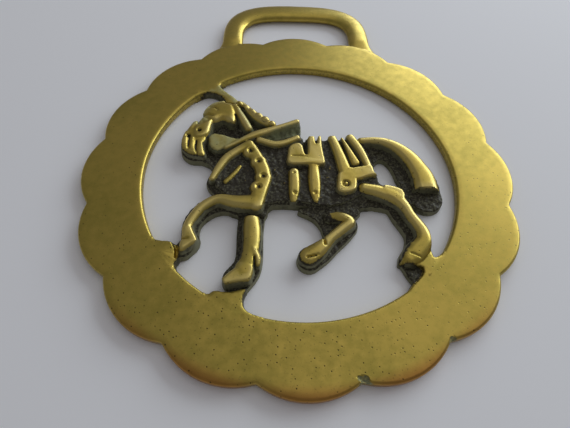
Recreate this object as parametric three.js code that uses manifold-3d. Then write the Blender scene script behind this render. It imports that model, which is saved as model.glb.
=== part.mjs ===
// Cast horse brass: a scalloped ring with a strap hanger, and a shire horse in harness inside it.
// One sand casting, lying face up. Millimetres, +Z up. X runs across, +Y towards the hanger.
// The ring and the horse are laid out from the ring's centre, and the group moves them so that
// the origin is on the back of the plate, under the middle of the whole outline.
import * as THREE from "three";
import { ConvexGeometry } from "three/addons/geometries/ConvexGeometry.js";
import { mergeVertices } from "three/addons/utils/BufferGeometryUtils.js";
import Module from "manifold-3d";

const wasm = await Module();
wasm.setup();

// Driving dimensions of the plate.
const NOTCH_RADIUS = 39; // ring centre to the notch between two lobes
const LOBE_RADIUS = 1.0465 * NOTCH_RADIUS; // ring centre to the crown of a lobe
const LOBES = 16;
const HOLE_RADIUS = 29.4; // inside of the ring
const PLATE = 1.9; // thickness of the ring and of the ground under the horse
const PLATE_SOFT = 0.5; // how far the ring's worn edges are rounded

// Strap hanger: an arched bar on two legs. Its slot takes a 1 inch strap. Both its edges are
// superellipses that rise from the spring line, and run straight down below it.
const SLOT_WIDTH = 25.6;
const SLOT_TOP = 49; // underside of the bar, from the ring's centre
const SLOT_POWER = 3.5;
const LEG_WIDTH = 4.8;
const BAR_WIDTH = 5.4;
const BAR_POWER = 2.9;
const BAR_THICKNESS = 2.4;
const BAR_SOFT = 0.8; // rounding of the bar's section
const SPRING_LINE = 40;
const ARCH_STEPS = 13; // an odd number leaves a flat in the middle, where the strap bears
const HANGER_SHIFT = 0.4; // the hanger sits this far to the right of the ring's middle
const HANGER_FOOT = 33; // where the legs end, buried in the ring
const FOOT_FLARE = 3; // how much wider each leg's outer side is where it meets the ring
const LEG_RUN = 11; // length over which the legs thin down to the ring

// The horse stands on a ground as thick as the plate, which shows as a ledge round the relief.
const LEDGE = 0.75; // width of that ledge
const DRAFT = 0.25; // the ledge's wall leans out by this much at the back
const FLANK = 0.3; // how far the relief's walls lean out, so that it leaves the sand
const EMBED = 0.5; // where a relief solid starts, inside the ground
const SIDES = 8; // sides of a limb's round post
const STRAP_SIDES = 7;
const BARREL = 2.5; // height of the grainy hide between the straps
const STRAP = 3.3; // height of the harness straps
const HANGER_CROWN = SLOT_TOP + BAR_WIDTH;
const RING_CENTRE_Y = -(HANGER_CROWN - LOBE_RADIUS) / 2;

const brass = new THREE.MeshStandardMaterial({ color: 0xa88c3c, roughness: 0.34, metalness: 1 });

// Limbs, as stations of [x, y, half width, height], each from the body outwards.
const RAISED_FORELEG = [
  [-8.4, -8.0, 1.7, 3.6], [-12.2, -7.7, 1.55, 3.5], [-15.0, -7.2, 1.1, 3.5],
  [-17.6, -9.0, 1.0, 3.3], [-19.3, -11.4, 1.0, 3.2], [-19.8, -13.6, 1.15, 3.1],
  [-19.4, -15.6, 1.5, 3.0], [-20.2, -16.6, 1.3, 2.7],
];
const STANDING_FORELEG = [
  [-8.6, -11.4, 1.5, 3.2], [-8.8, -15.5, 1.25, 3.2], [-8.6, -19.2, 1.3, 3.2],
  [-10.0, -21.2, 1.5, 3.1], [-11.4, -22.3, 1.35, 2.9],
];
const FORE_FEATHER = [[-8.3, -18.3, 0.8, 3.2], [-7.7, -20.6, 0.55, 2.9]];
const RAISED_HIND_LEG = [
  [4.6, -10.0, 1.3, 2.6], [7.6, -11.2, 1.2, 3.2], [8.3, -12.0, 1.2, 3.4],
  [4.9, -15.0, 1.2, 3.3], [2.3, -17.0, 1.7, 3.3], [0.4, -18.9, 1.5, 2.8],
];
const STANDING_HIND_LEG = [
  [11.6, -4.6, 1.4, 3.1], [15.0, -5.7, 1.4, 3.4], [17.3, -6.6, 1.3, 3.4],
  [18.9, -10.2, 0.95, 3.2], [20.6, -13.8, 1.2, 3.2], [19.9, -16.6, 1.5, 3.1],
  [18.4, -18.0, 1.5, 3.0], [17.4, -19.0, 1.3, 2.8],
];
const TAIL = [
  [12.2, 6.9, 0.8, 3.2], [14.6, 7.0, 0.85, 3.3], [17.0, 6.6, 1.1, 3.4], [19.3, 5.0, 1.4, 3.5],
  [21.0, 2.8, 1.65, 3.6], [22.3, 0.2, 1.9, 3.6], [22.9, -2.3, 2.2, 3.6], [22.9, -3.3, 2.1, 3.5],
];

// Head and neck.
const HEAD = [
  [-14.9, 15.2, 2.4, 4.0], [-17.4, 12.8, 2.0, 3.8], [-19.5, 9.6, 1.8, 3.7], [-20.8, 5.8, 1.9, 3.1],
];
const NOSE = [[-20.6, 10.9, 1.0, 3.3], [-21.6, 8.2, 1.2, 3.3], [-21.5, 5.2, 1.5, 3.1]];
const NECK_RIDGE = [[-13.2, 16.2, 1.1, 3.9], [-11.9, 13.6, 0.8, 3.8], [-10.0, 10.4, 0.8, 3.5]];
const MANE_START = [-10.9, 15.9];
const MANE_END = [-5.0, 11.3];
const MANE_LOCKS = 6;
const MANE_LENGTH = 1.0;
// Flat webs that tie a hoof or the poll to the ring.
const WEBS = [
  [[-25.6, -15.6], [-21.9, -15.6], [-20.6, -17.2], [-21.2, -20.4], [-26.0, -20.0]],
  [[-10.6, -19.8], [-13.0, -19.6], [-14.7, -21.8], [-15.5, -24.2], [-18.4, -26.2], [-12.0, -31.0],
    [-7.6, -30.0], [-9.5, -27.8], [-10.0, -25.2], [-9.4, -22.0]],
  [[15.6, -19.4], [17.2, -21.4], [17.6, -24.4], [24.6, -20.2], [23.4, -18.4], [21.9, -18.2],
    [20.8, -14.6]],
  [[-14.8, 17.4], [-15.7, 19.6], [-17.6, 21.0], [-19.4, 21.4], [-21.6, 21.2], [-23.4, 22.6],
    [-17.8, 26.6], [-17.1, 24.2], [-16.5, 22.9], [-15.3, 21.5], [-13.4, 19.7], [-12.2, 17.8]],
];
// Low web between the tail and the haunch, and the hole that goes through it.
const TAIL_WEB = [
  [12.4, 6.4], [15.6, 6.3], [18.6, 4.4], [20.8, 0.8], [21.6, -2.6], [25.2, -4.6], [23.4, -6.0],
  [20.4, -7.2], [18.4, -6.6], [15.0, -4.6], [12.6, -1.0], [12.2, 3.0],
];
const TAIL_HOLE = [
  [14.4, 1.4], [15.7, 2.7], [16.9, 1.8], [17.5, 0.3], [17.9, -1.5], [18.4, -3.0], [16.6, -3.7],
  [15.2, -2.8], [14.8, -1.0],
];
const TAIL_WEB_TOP = 1.3;
const EYE = [-17.4, 14.0];
const BIT = [-19.6, 8.9];
const CHEEK_HOLLOW = [-15.2, 9.6];

// Harness.
const HAME_UPPER = [[-14.2, 4.9, 0.6, 3.4], [-9.0, 7.9, 0.75, 3.8], [-0.3, 11.6, 0.6, 3.7]];
const HAME_LOWER = [[-7.0, 5.8, 0.55, 3.5], [-3.4, 5.9, 0.75, 3.6], [-0.2, 7.4, 0.6, 3.6]];
const COLLAR = [[-11.0, 4.7, 0.75, 3.5], [-14.3, 1.8, 0.75, 3.6], [-16.3, -2.4, 0.7, 3.3]];
const BREAST_BAND = [
  [-9.8, 4.4, 1.5, 3.6], [-7.7, 1.2, 1.6, 3.6], [-7.0, -2.6, 1.7, 3.6], [-7.9, -6.0, 1.6, 3.6],
];
const STUDS = [[-9.5, 3.6], [-7.9, 1.1], [-6.9, -2.5], [-7.7, -5.0]];
const TRACE = [[-13.6, -2.6, 0.5, 2.7], [-11.0, 0.0, 0.5, 2.7]];
const GIRTHS = [
  [[-1.3, -0.6, 1.0, 3.3], [-1.3, -5.4, 1.0, 3.3], [-1.4, -7.2, 0.4, 2.9]],
  [[2.5, 0.4, 1.1, 3.3], [2.5, -5.6, 1.1, 3.3], [2.6, -7.4, 0.5, 2.8]],
];
const SADDLE_BAR = [[-2.5, 0.7], [4.4, 0.6], [4.6, 3.2], [-2.5, 3.4]];
const SADDLE_PADS = [
  [[-1.0, 3.2, 1.3, 3.7], [-0.6, 6.6, 1.0, 3.3]],
  [[2.7, 3.0, 1.4, 3.6], [2.3, 7.0, 0.7, 3.2]],
  [[3.2, 3.2, 1.1, 3.5], [3.8, 7.1, 0.5, 3.2]],
];
const HIP_STRAP = [[6.4, 7.2, 0.7, 3.3], [7.4, 2.6, 1.1, 3.5], [8.4, -1.4, 1.6, 3.5], [8.2, -4.4, 1.9, 3.5]];
const BREECHING = [[9.0, -1.4, 1.2, 3.5], [13.1, -0.5, 1.0, 3.4]];
const RUMP_STRAP = [[9.9, 7.4, 0.95, 3.4], [11.4, 4.2, 1.0, 3.5], [12.4, 1.2, 0.95, 3.5]];
const CROUP_WEDGE = [[8.2, 7.8], [9.0, 7.6], [11.9, 1.0], [10.0, 0.6]];
const HIP_RING = [8.0, -4.0];

const STRAPS = [
  FORE_FEATHER, NECK_RIDGE, HAME_UPPER, HAME_LOWER, COLLAR, BREAST_BAND, TRACE,
  ...GIRTHS, ...SADDLE_PADS, HIP_STRAP, BREECHING, RUMP_STRAP,
];

// The ground's own outline under the neck, chest, barrel and croup.
const GROUND = [
  [-15.5, -5.9], [-17.5, -3.0], [-16.6, 0.6], [-18.8, 2.3], [-20.2, 6.0], [-18.2, 13.0],
  [-14.0, 16.6], [-10.4, 15.6], [-4.3, 11.6], [0.6, 12.1], [0.5, 7.8], [6.0, 7.8], [11.8, 8.0],
  [13.6, 5.4], [13.6, 1.0], [15.0, -2.8], [18.4, -4.4], [17.4, -8.6], [13.0, -8.0], [9.0, -8.6],
  [4.6, -9.4], [1.2, -8.2], [-5.4, -7.9], [-7.0, -10.4], [-12.5, -9.6],
];
const HIDE = [
  [-13.5, 3.6], [-16.0, -2.6], [-13.6, -6.0], [-8.0, -8.0], [-2.0, -7.2], [5.0, -8.4], [10.5, -6.0],
  [14.4, -2.6], [12.8, 5.0], [11.6, 7.4], [1.0, 7.4], [0.2, 11.2], [-4.0, 9.6], [-9.0, 7.0],
];

// ---- Joining and cutting ----

function solid(geometry) {
  const bare = geometry.clone();
  bare.deleteAttribute("normal");
  bare.deleteAttribute("uv");
  const merged = mergeVertices(bare, 1e-4);
  return new wasm.Manifold(
    new wasm.Mesh({
      numProp: 3,
      vertProperties: new Float32Array(merged.attributes.position.array),
      triVerts: new Uint32Array(merged.index.array),
    }),
  );
}

function toGeometry(body) {
  const mesh = body.getMesh();
  const geometry = new THREE.BufferGeometry();
  geometry.setAttribute("position", new THREE.BufferAttribute(mesh.vertProperties, 3));
  geometry.setIndex(new THREE.BufferAttribute(mesh.triVerts, 1));
  geometry.computeVertexNormals();
  return geometry;
}

// ---- Plain solids ----

// A shape extruded between two heights, its edges rounded off by `soft` without growing it.
function slab(shape, bottom, top, soft, steps = 1, curveSegments = 8) {
  const geometry = new THREE.ExtrudeGeometry(shape, {
    depth: top - bottom - 2 * soft,
    bevelEnabled: soft > 0,
    bevelThickness: soft,
    bevelSize: soft,
    bevelOffset: -soft,
    bevelSegments: steps,
    curveSegments,
  });
  geometry.translate(0, 0, bottom + soft);
  return solid(geometry);
}

function pointsOf(pairs) {
  return pairs.map(([x, y]) => new THREE.Vector2(x, y));
}

function smoothShape(pairs, divisions) {
  const curve = new THREE.CatmullRomCurve3(pairs.map(([x, y]) => new THREE.Vector3(x, y, 0)), true);
  return new THREE.Shape(curve.getPoints(divisions).slice(0, -1).map((p) => new THREE.Vector2(p.x, p.y)));
}

function circle(x, y, radius, z, sides) {
  const points = [];
  for (let i = 0; i < sides; i += 1) {
    const a = ((i + 0.5) / sides) * 2 * Math.PI;
    points.push(new THREE.Vector3(x + radius * Math.cos(a), y + radius * Math.sin(a), z));
  }
  return points;
}

// A post of the relief: a steep wall, then a crown that is part of an ellipse.
function domedPost([x, y, radius, top], sides) {
  const crown = Math.min(0.8 * radius, 0.8 * (top - EMBED));
  const points = circle(x, y, radius + FLANK, EMBED, sides);
  for (const share of [1, 0.62]) {
    const drop = crown * (1 - Math.sqrt(1 - share * share));
    points.push(...circle(x, y, radius * share, top - drop, sides));
  }
  return points;
}

// A post of the ground: flat, with draft on its wall.
function flatPost([x, y, radius], ledge, sides) {
  return [
    ...circle(x, y, radius + ledge + DRAFT, 0, sides),
    ...circle(x, y, radius + ledge, PLATE, sides),
  ];
}

// Each post hulled to the next one, along a limb or strap.
function hulls(posts) {
  return posts.slice(1).map((post, i) => solid(new ConvexGeometry([...posts[i], ...post])));
}

function relief(stations, sides = SIDES) {
  return hulls(stations.map((s) => domedPost(s, sides)));
}

function ground(stations, ledge = LEDGE, sides = SIDES) {
  return hulls(stations.map((s) => flatPost(s, ledge, sides)));
}

function ball(x, y, z, radius, height = radius) {
  const geometry = new THREE.SphereGeometry(radius, 8, 5);
  geometry.scale(1, 1, height / radius);
  geometry.translate(x, y, z);
  return solid(geometry);
}

// ---- The plate ----

function ring() {
  const half = Math.PI / LOBES;
  const chord = NOTCH_RADIUS * Math.sin(half);
  const rise = LOBE_RADIUS - NOTCH_RADIUS * Math.cos(half);
  const arc = (chord * chord + rise * rise) / (2 * rise);
  const sweep = Math.asin(chord / arc);
  const outline = new THREE.Shape();
  for (let i = 0; i < LOBES; i += 1) {
    const a = (i / LOBES) * 2 * Math.PI;
    const middle = LOBE_RADIUS - arc;
    outline.absarc(middle * Math.cos(a), middle * Math.sin(a), arc, a - sweep, a + sweep, false);
  }
  const hole = new THREE.Path();
  hole.absarc(0, 0, HOLE_RADIUS, 0, 2 * Math.PI, true);
  const shape = new THREE.Shape(outline.getPoints(3));
  shape.holes.push(new THREE.Path(hole.getPoints(36).slice(0, -1)));
  return slab(shape, 0, PLATE, PLATE_SOFT, 2);
}

// One edge of the bar and legs, from the right foot over the bar to the left foot.
function archPoints(halfWidth, top, power, flare) {
  const side = [new THREE.Vector2(halfWidth + flare, HANGER_FOOT)];
  if (flare) {
    const foot = side[0];
    const bend = new THREE.Vector2(halfWidth, HANGER_FOOT + flare);
    const leg = new THREE.Vector2(halfWidth, HANGER_FOOT + 2.2 * flare);
    side.push(...new THREE.QuadraticBezierCurve(foot, bend, leg).getPoints(5).slice(1, -1));
  }
  const arch = [];
  const crest = Math.cos(Math.PI / ARCH_STEPS / 2);
  for (let i = 0; i <= ARCH_STEPS; i += 1) {
    const a = (i / ARCH_STEPS) * Math.PI;
    const across = Math.sign(Math.cos(a)) * Math.abs(Math.cos(a)) ** (2 / power);
    const up = Math.abs(Math.sin(a) / crest) ** (2 / power);
    arch.push(new THREE.Vector2(halfWidth * across, SPRING_LINE + (top - SPRING_LINE) * up));
  }
  const mirrored = side.map((p) => new THREE.Vector2(-p.x, p.y)).reverse();
  return [...side, ...arch, ...mirrored];
}

function hanger() {
  const outer = archPoints(SLOT_WIDTH / 2 + LEG_WIDTH, HANGER_CROWN, BAR_POWER, FOOT_FLARE);
  const inner = archPoints(SLOT_WIDTH / 2, SLOT_TOP, SLOT_POWER, 0);
  const loop = slab(new THREE.Shape([...outer, ...inner.reverse()]), 0, BAR_THICKNESS, BAR_SOFT, 2);
  // The legs thin down towards the ring, so that their ends lie under its face.
  const fall = BAR_THICKNESS - PLATE + 0.15;
  const planer = new THREE.BoxGeometry(4 * SLOT_WIDTH, 2 * LEG_RUN, BAR_THICKNESS);
  planer.translate(0, 0, BAR_THICKNESS / 2);
  planer.rotateX(Math.atan(fall / LEG_RUN));
  planer.translate(0, HANGER_FOOT, BAR_THICKNESS - fall);
  return loop.subtract(solid(planer)).translate([HANGER_SHIFT, 0, 0]);
}

// Locks of the mane, side by side along the crest and pointing away from the neck.
function maneLocks() {
  const start = new THREE.Vector2(...MANE_START);
  const end = new THREE.Vector2(...MANE_END);
  const along = end.clone().sub(start).normalize();
  const out = new THREE.Vector2(-along.y, along.x);
  const locks = [];
  for (let i = 0; i < MANE_LOCKS; i += 1) {
    const root = start.clone().lerp(end, i / (MANE_LOCKS - 1));
    const tip = root.clone().addScaledVector(out, MANE_LENGTH);
    locks.push(...relief([[root.x, root.y, 0.5, 2.8], [tip.x, tip.y, 0.6, 3.0]], STRAP_SIDES));
  }
  return locks;
}

function tailWeb() {
  const web = slab(smoothShape(TAIL_WEB, 30), 0, TAIL_WEB_TOP, 0.15);
  return web.subtract(slab(smoothShape(TAIL_HOLE, 18), -1, TAIL_WEB_TOP + 1, 0));
}

function horse() {
  const limbs = [RAISED_FORELEG, STANDING_FORELEG, RAISED_HIND_LEG, STANDING_HIND_LEG, TAIL];
  const flats = [
    slab(smoothShape(GROUND, 66), 0, PLATE, 0.2),
    slab(smoothShape(HIDE, 42), EMBED, BARREL, 0.3),
    slab(new THREE.Shape(pointsOf(SADDLE_BAR)), EMBED, STRAP, 0.3),
    slab(new THREE.Shape(pointsOf(CROUP_WEDGE)), EMBED, STRAP - 0.2, 0.2),
    tailWeb(),
    ...WEBS.map((web) => slab(smoothShape(web, 3 * web.length), 0, PLATE, 0.2)),
  ];
  const rounded = [...limbs, HEAD, NOSE].flatMap((stations) => relief(stations));
  const ledges = limbs.flatMap((stations) => ground(stations));
  const straps = STRAPS.flatMap((stations) => relief(stations, STRAP_SIDES));
  return [...flats, ...rounded, ...ledges, ...straps, ...maneLocks()];
}

function pits() {
  return [
    ball(...EYE, 3.9, 0.75, 0.6),
    ball(...BIT, 3.75, 0.6, 0.5),
    ball(...CHEEK_HOLLOW, 3.4, 2.3, 1.6),
    ball(...HIP_RING, STRAP + 0.25, 0.8, 0.5),
    ...STUDS.map(([x, y]) => ball(x, y, STRAP + 0.3, 0.6, 0.5)),
  ];
}

const group = new THREE.Group();
const casting = wasm.Manifold.union([ring(), hanger(), ...horse()]);
const body = casting.subtract(wasm.Manifold.union(pits()));
const mesh = new THREE.Mesh(toGeometry(body), brass);
mesh.name = "horse_brass";
group.add(mesh);
group.position.set(0, RING_CENTRE_Y, 0);
export default group;
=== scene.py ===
"""Looks of a cast horse brass: a scalloped ring, a strap hanger and a heavy horse in relief.

The whole brass is one casting. Geometry Nodes make the scalloped ring, the hanger and the locks of
the mane. The horse is carved as a height field and turned into a closed surface. Boolean unions then
join them into the one piece that stands for the solid.
"""

import math

import bmesh
import bpy
import numpy as np
from bpy.props import FloatProperty, IntProperty, PointerProperty, StringProperty
from mathutils import Matrix, Vector, noise


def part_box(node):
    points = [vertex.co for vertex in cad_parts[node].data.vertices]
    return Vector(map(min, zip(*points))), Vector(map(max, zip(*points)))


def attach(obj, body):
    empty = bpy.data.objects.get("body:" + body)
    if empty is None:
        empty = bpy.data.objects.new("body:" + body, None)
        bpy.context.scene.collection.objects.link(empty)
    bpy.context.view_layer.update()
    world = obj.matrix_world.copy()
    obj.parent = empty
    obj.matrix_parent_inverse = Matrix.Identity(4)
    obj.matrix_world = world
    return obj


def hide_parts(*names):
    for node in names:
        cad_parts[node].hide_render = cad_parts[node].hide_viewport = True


bl_info = {
    "name": "Horse brass",
    "version": (1, 0, 0),
    "blender": (4, 5, 0),
    "location": "View3D > Sidebar > Horse brass",
    "description": "A cast horse brass with a heavy horse in relief, worn and patinated",
    "category": "Object",
}

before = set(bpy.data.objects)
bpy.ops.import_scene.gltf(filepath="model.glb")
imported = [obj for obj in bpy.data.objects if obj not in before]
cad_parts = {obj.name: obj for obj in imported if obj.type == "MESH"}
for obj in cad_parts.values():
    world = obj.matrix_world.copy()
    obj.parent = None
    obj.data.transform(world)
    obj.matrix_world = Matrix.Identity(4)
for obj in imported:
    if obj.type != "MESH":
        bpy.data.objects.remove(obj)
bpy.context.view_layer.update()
CAD_NODE = "horse_brass"
NODE_LOW, NODE_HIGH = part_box(CAD_NODE)

# The brass is laid out in millimetres from the centre of its ring, with its back at height 0. The
# ring is as wide as the brass and its lowest lobe is the lowest point, which gives that centre.
MM = 0.001
LOBE_RADIUS = (NODE_HIGH.x - NODE_LOW.x) / 2 / MM
CENTRE_Y = NODE_LOW.y / MM + LOBE_RADIUS
CROWN = NODE_HIGH.y / MM - CENTRE_Y
TALLEST = NODE_HIGH.z / MM
INSIDE = 0.012  # how far the finished surface keeps inside the solid's box, mm


# ---- Settings: the sizes and colours that a user would change ----


class PlateSettings(bpy.types.PropertyGroup):
    """Sizes of the scalloped ring, in millimetres."""

    lobes: IntProperty(name="Lobes", description="Scallops round the ring", default=16, min=3)
    notch: FloatProperty(name="Notch radius", description="Ring centre to a notch, mm", default=39.0)
    hole: FloatProperty(name="Hole radius", description="Radius of the opening, mm", default=29.4)
    thickness: FloatProperty(name="Thickness", description="Thickness of the plate, mm", default=1.9)
    softness: FloatProperty(name="Edge radius", description="Rounding left by wear, mm", default=0.55)
    waves: FloatProperty(name="Waves", description="Height of the hand-filed waves, mm", default=0.05)


class HangerSettings(bpy.types.PropertyGroup):
    """Sizes of the strap hanger, in millimetres."""

    slot_width: FloatProperty(name="Slot width", description="Room for a 1 inch strap, mm", default=25.6)
    slot_top: FloatProperty(name="Slot top", description="Ring centre to the bar, mm", default=49.0)
    leg_width: FloatProperty(name="Leg width", description="Width of a leg, mm", default=4.8)
    thickness: FloatProperty(name="Thickness", description="Thickness of the bar, mm", default=2.4)
    spring: FloatProperty(name="Spring line", description="Where the arch starts, mm", default=40.0)
    foot: FloatProperty(name="Foot", description="Where a leg ends in the ring, mm", default=34.0)
    flare: FloatProperty(name="Flare", description="Spread of a leg at its foot, mm", default=3.0)
    shift: FloatProperty(name="Shift", description="Hanger's offset to the right, mm", default=0.4)


class HorseSettings(bpy.types.PropertyGroup):
    """How the relief is carved, in millimetres."""

    grid: FloatProperty(name="Grid", description="Spacing of the carving grid, mm", default=0.17)
    hide: FloatProperty(name="Hide", description="Height of the hide between the straps, mm", default=2.35)
    ledge: FloatProperty(name="Ledge", description="Width of the ground beside the tail, mm", default=0.5)
    grain: FloatProperty(name="Grain", description="Depth of the sand grain, mm", default=0.14)
    locks: IntProperty(name="Mane locks", description="Locks along the crest", default=6, min=2)


class FinishSettings(bpy.types.PropertyGroup):
    """Colours of the brass, as sRGB hex values."""

    bright: StringProperty(name="Bright brass", description="Places that wear keeps bright", default="D2BE74")
    gold: StringProperty(name="Gold brass", description="Flat places with little oxide", default="C2AA52")
    olive: StringProperty(name="Dulled brass", description="Flat places under thin oxide", default="A69544")
    # The dark colour serves the old polish in the recesses, the shade painted into the recesses and down the
    # walls, and the pinholes.
    patina_and_shade_colour: StringProperty(name="Dark patina", description="Old polish in recesses", default="2C2616")
    verdigris: StringProperty(name="Verdigris", description="Grey-green copper salts", default="8C8B6C")
    # The pale green is a painted reflection on parts of the head and the hame's trough, and a film on the
    # broken chips.
    film_and_reflection: StringProperty(name="Pale film", description="Thin pale green film", default="A8AE82")
    copper: StringProperty(name="Copper blush", description="Red blush along the rim", default="A4552B")


class StageSettings(bpy.types.PropertyGroup):
    """Floor and light."""

    floor: StringProperty(name="Floor colour", description="Colour of the pale floor", default="FAFAFD")
    window: FloatProperty(name="Window", description="Power of the large soft light, W", default=2.25)
    ceiling: FloatProperty(name="Ceiling", description="Power of the light from above, W", default=0.4)
    fill: FloatProperty(name="Fill", description="Strength of the room's light", default=0.22)


class HorseBrassSettings(bpy.types.PropertyGroup):
    """All the settings of the horse brass."""

    plate: PointerProperty(type=PlateSettings)
    hanger: PointerProperty(type=HangerSettings)
    horse: PointerProperty(type=HorseSettings)
    finish: PointerProperty(type=FinishSettings)
    stage: PointerProperty(type=StageSettings)


def settings():
    return bpy.context.scene.horse_brass


# ---- Helpers ----


def add(tree, kind, feeds=None, **values):
    """Adds a node with its settings. Each feed is a value, a node's first output or an output socket."""
    node = tree.nodes.new(kind)
    for name, value in values.items():
        setattr(node, name, value)
    for socket, feed in (feeds or {}).items():
        if isinstance(feed, bpy.types.Node):
            feed = feed.outputs[0]
        if isinstance(feed, bpy.types.NodeSocket):
            tree.links.new(feed, node.inputs[socket])
        else:
            node.inputs[socket].default_value = feed
    return node


def linear(hex_colour):
    """An sRGB hex value as a linear RGBA colour."""
    parts = [int(hex_colour[i : i + 2], 16) / 255 for i in (0, 2, 4)]
    return tuple(c / 12.92 if c <= 0.04045 else ((c + 0.055) / 1.055) ** 2.4 for c in parts) + (1.0,)


def make_object(name, vertices, faces):
    mesh = bpy.data.meshes.new(name)
    mesh.from_pydata([tuple(v) for v in vertices], [], [tuple(f) for f in faces])
    mesh.update()
    made = bpy.data.objects.new(name, mesh)
    bpy.context.scene.collection.objects.link(made)
    return made


def new_tree(name, sizes):
    """A Geometry Nodes tree with a named input for each size, and its input node."""
    tree = bpy.data.node_groups.new(name, "GeometryNodeTree")
    tree.interface.new_socket("Geometry", in_out="OUTPUT", socket_type="NodeSocketGeometry")
    tree.interface.new_socket("Geometry", in_out="INPUT", socket_type="NodeSocketGeometry")
    for label, value in sizes.items():
        if isinstance(value, bpy.types.Material):
            kind = "NodeSocketMaterial"
        elif isinstance(value, int):
            kind = "NodeSocketInt"
        elif isinstance(value, (tuple, Vector)):
            kind = "NodeSocketVector"
        else:
            kind = "NodeSocketFloat"
        tree.interface.new_socket(label, in_out="INPUT", socket_type=kind)
    return tree, tree.nodes.new("NodeGroupInput")


def finish_tree(tree, given, geometry):
    """Ends a tree in Realize Instances and Set Material."""
    real = add(tree, "GeometryNodeRealizeInstances", {"Geometry": geometry})
    dressed = add(
        tree, "GeometryNodeSetMaterial", {"Geometry": real, "Material": given.outputs["Material"]}
    )
    add(tree, "NodeGroupOutput", {"Geometry": dressed})


def grow(name, tree, sizes):
    """Runs a tree with these sizes and returns its result as a plain mesh object."""
    seed = make_object(name + "_seed", [], [])
    modifier = seed.modifiers.new("shape", "NODES")
    modifier.node_group = tree
    for item in tree.interface.items_tree:
        if item.in_out == "INPUT" and item.name in sizes:
            modifier[item.identifier] = sizes[item.name]
    graph = bpy.context.evaluated_depsgraph_get()
    mesh = bpy.data.meshes.new_from_object(seed.evaluated_get(graph))
    seed.modifiers.remove(modifier)
    bpy.data.objects.remove(seed)
    grown = bpy.data.objects.new(name, mesh)
    bpy.context.scene.collection.objects.link(grown)
    face_outwards(grown)
    return grown


def face_outwards(piece):
    """Turns every face of a closed piece outwards."""
    shape = bmesh.new()
    shape.from_mesh(piece.data)
    bmesh.ops.recalc_face_normals(shape, faces=shape.faces)
    if shape.calc_volume(signed=True) < 0:
        bmesh.ops.reverse_faces(shape, faces=shape.faces)
    shape.to_mesh(piece.data)
    shape.free()


def join(piece, other, operation):
    """Joins another closed piece to this one, or cuts it away, and removes it."""
    cut = piece.modifiers.new("join", "BOOLEAN")
    cut.object = other
    cut.operation = operation
    cut.solver = "MANIFOLD"
    graph = bpy.context.evaluated_depsgraph_get()
    mesh = bpy.data.meshes.new_from_object(piece.evaluated_get(graph))
    piece.modifiers.remove(cut)
    if not len(mesh.polygons):
        raise RuntimeError(f"joining {other.name} left nothing")
    piece.data = mesh
    bpy.data.objects.remove(other)


# ---- The ring: a flat section with rounded edges, swept round the scallops ----

# The section's stretches in order, with how many steps each gets.
SECTION = {
    "top": 12,
    "outer top edge": 4,
    "rim": 2,
    "outer bottom edge": 3,
    "back": 3,
    "inner bottom edge": 3,
    "inside": 2,
    "inner top edge": 4,
}
STEPS_A_LOBE = 30
NOTCH_FILLET = 0.3  # how far the bottom of a notch is filled, mm


def around_circle(tree, radius, angle):
    """Both coordinates of the spot at this radius and angle."""
    parts = []
    for kind in ("COSINE", "SINE"):
        part = add(tree, "ShaderNodeMath", {0: angle}, operation=kind)
        parts.append(add(tree, "ShaderNodeMath", {0: radius, 1: part}, operation="MULTIPLY"))
    return parts


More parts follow.
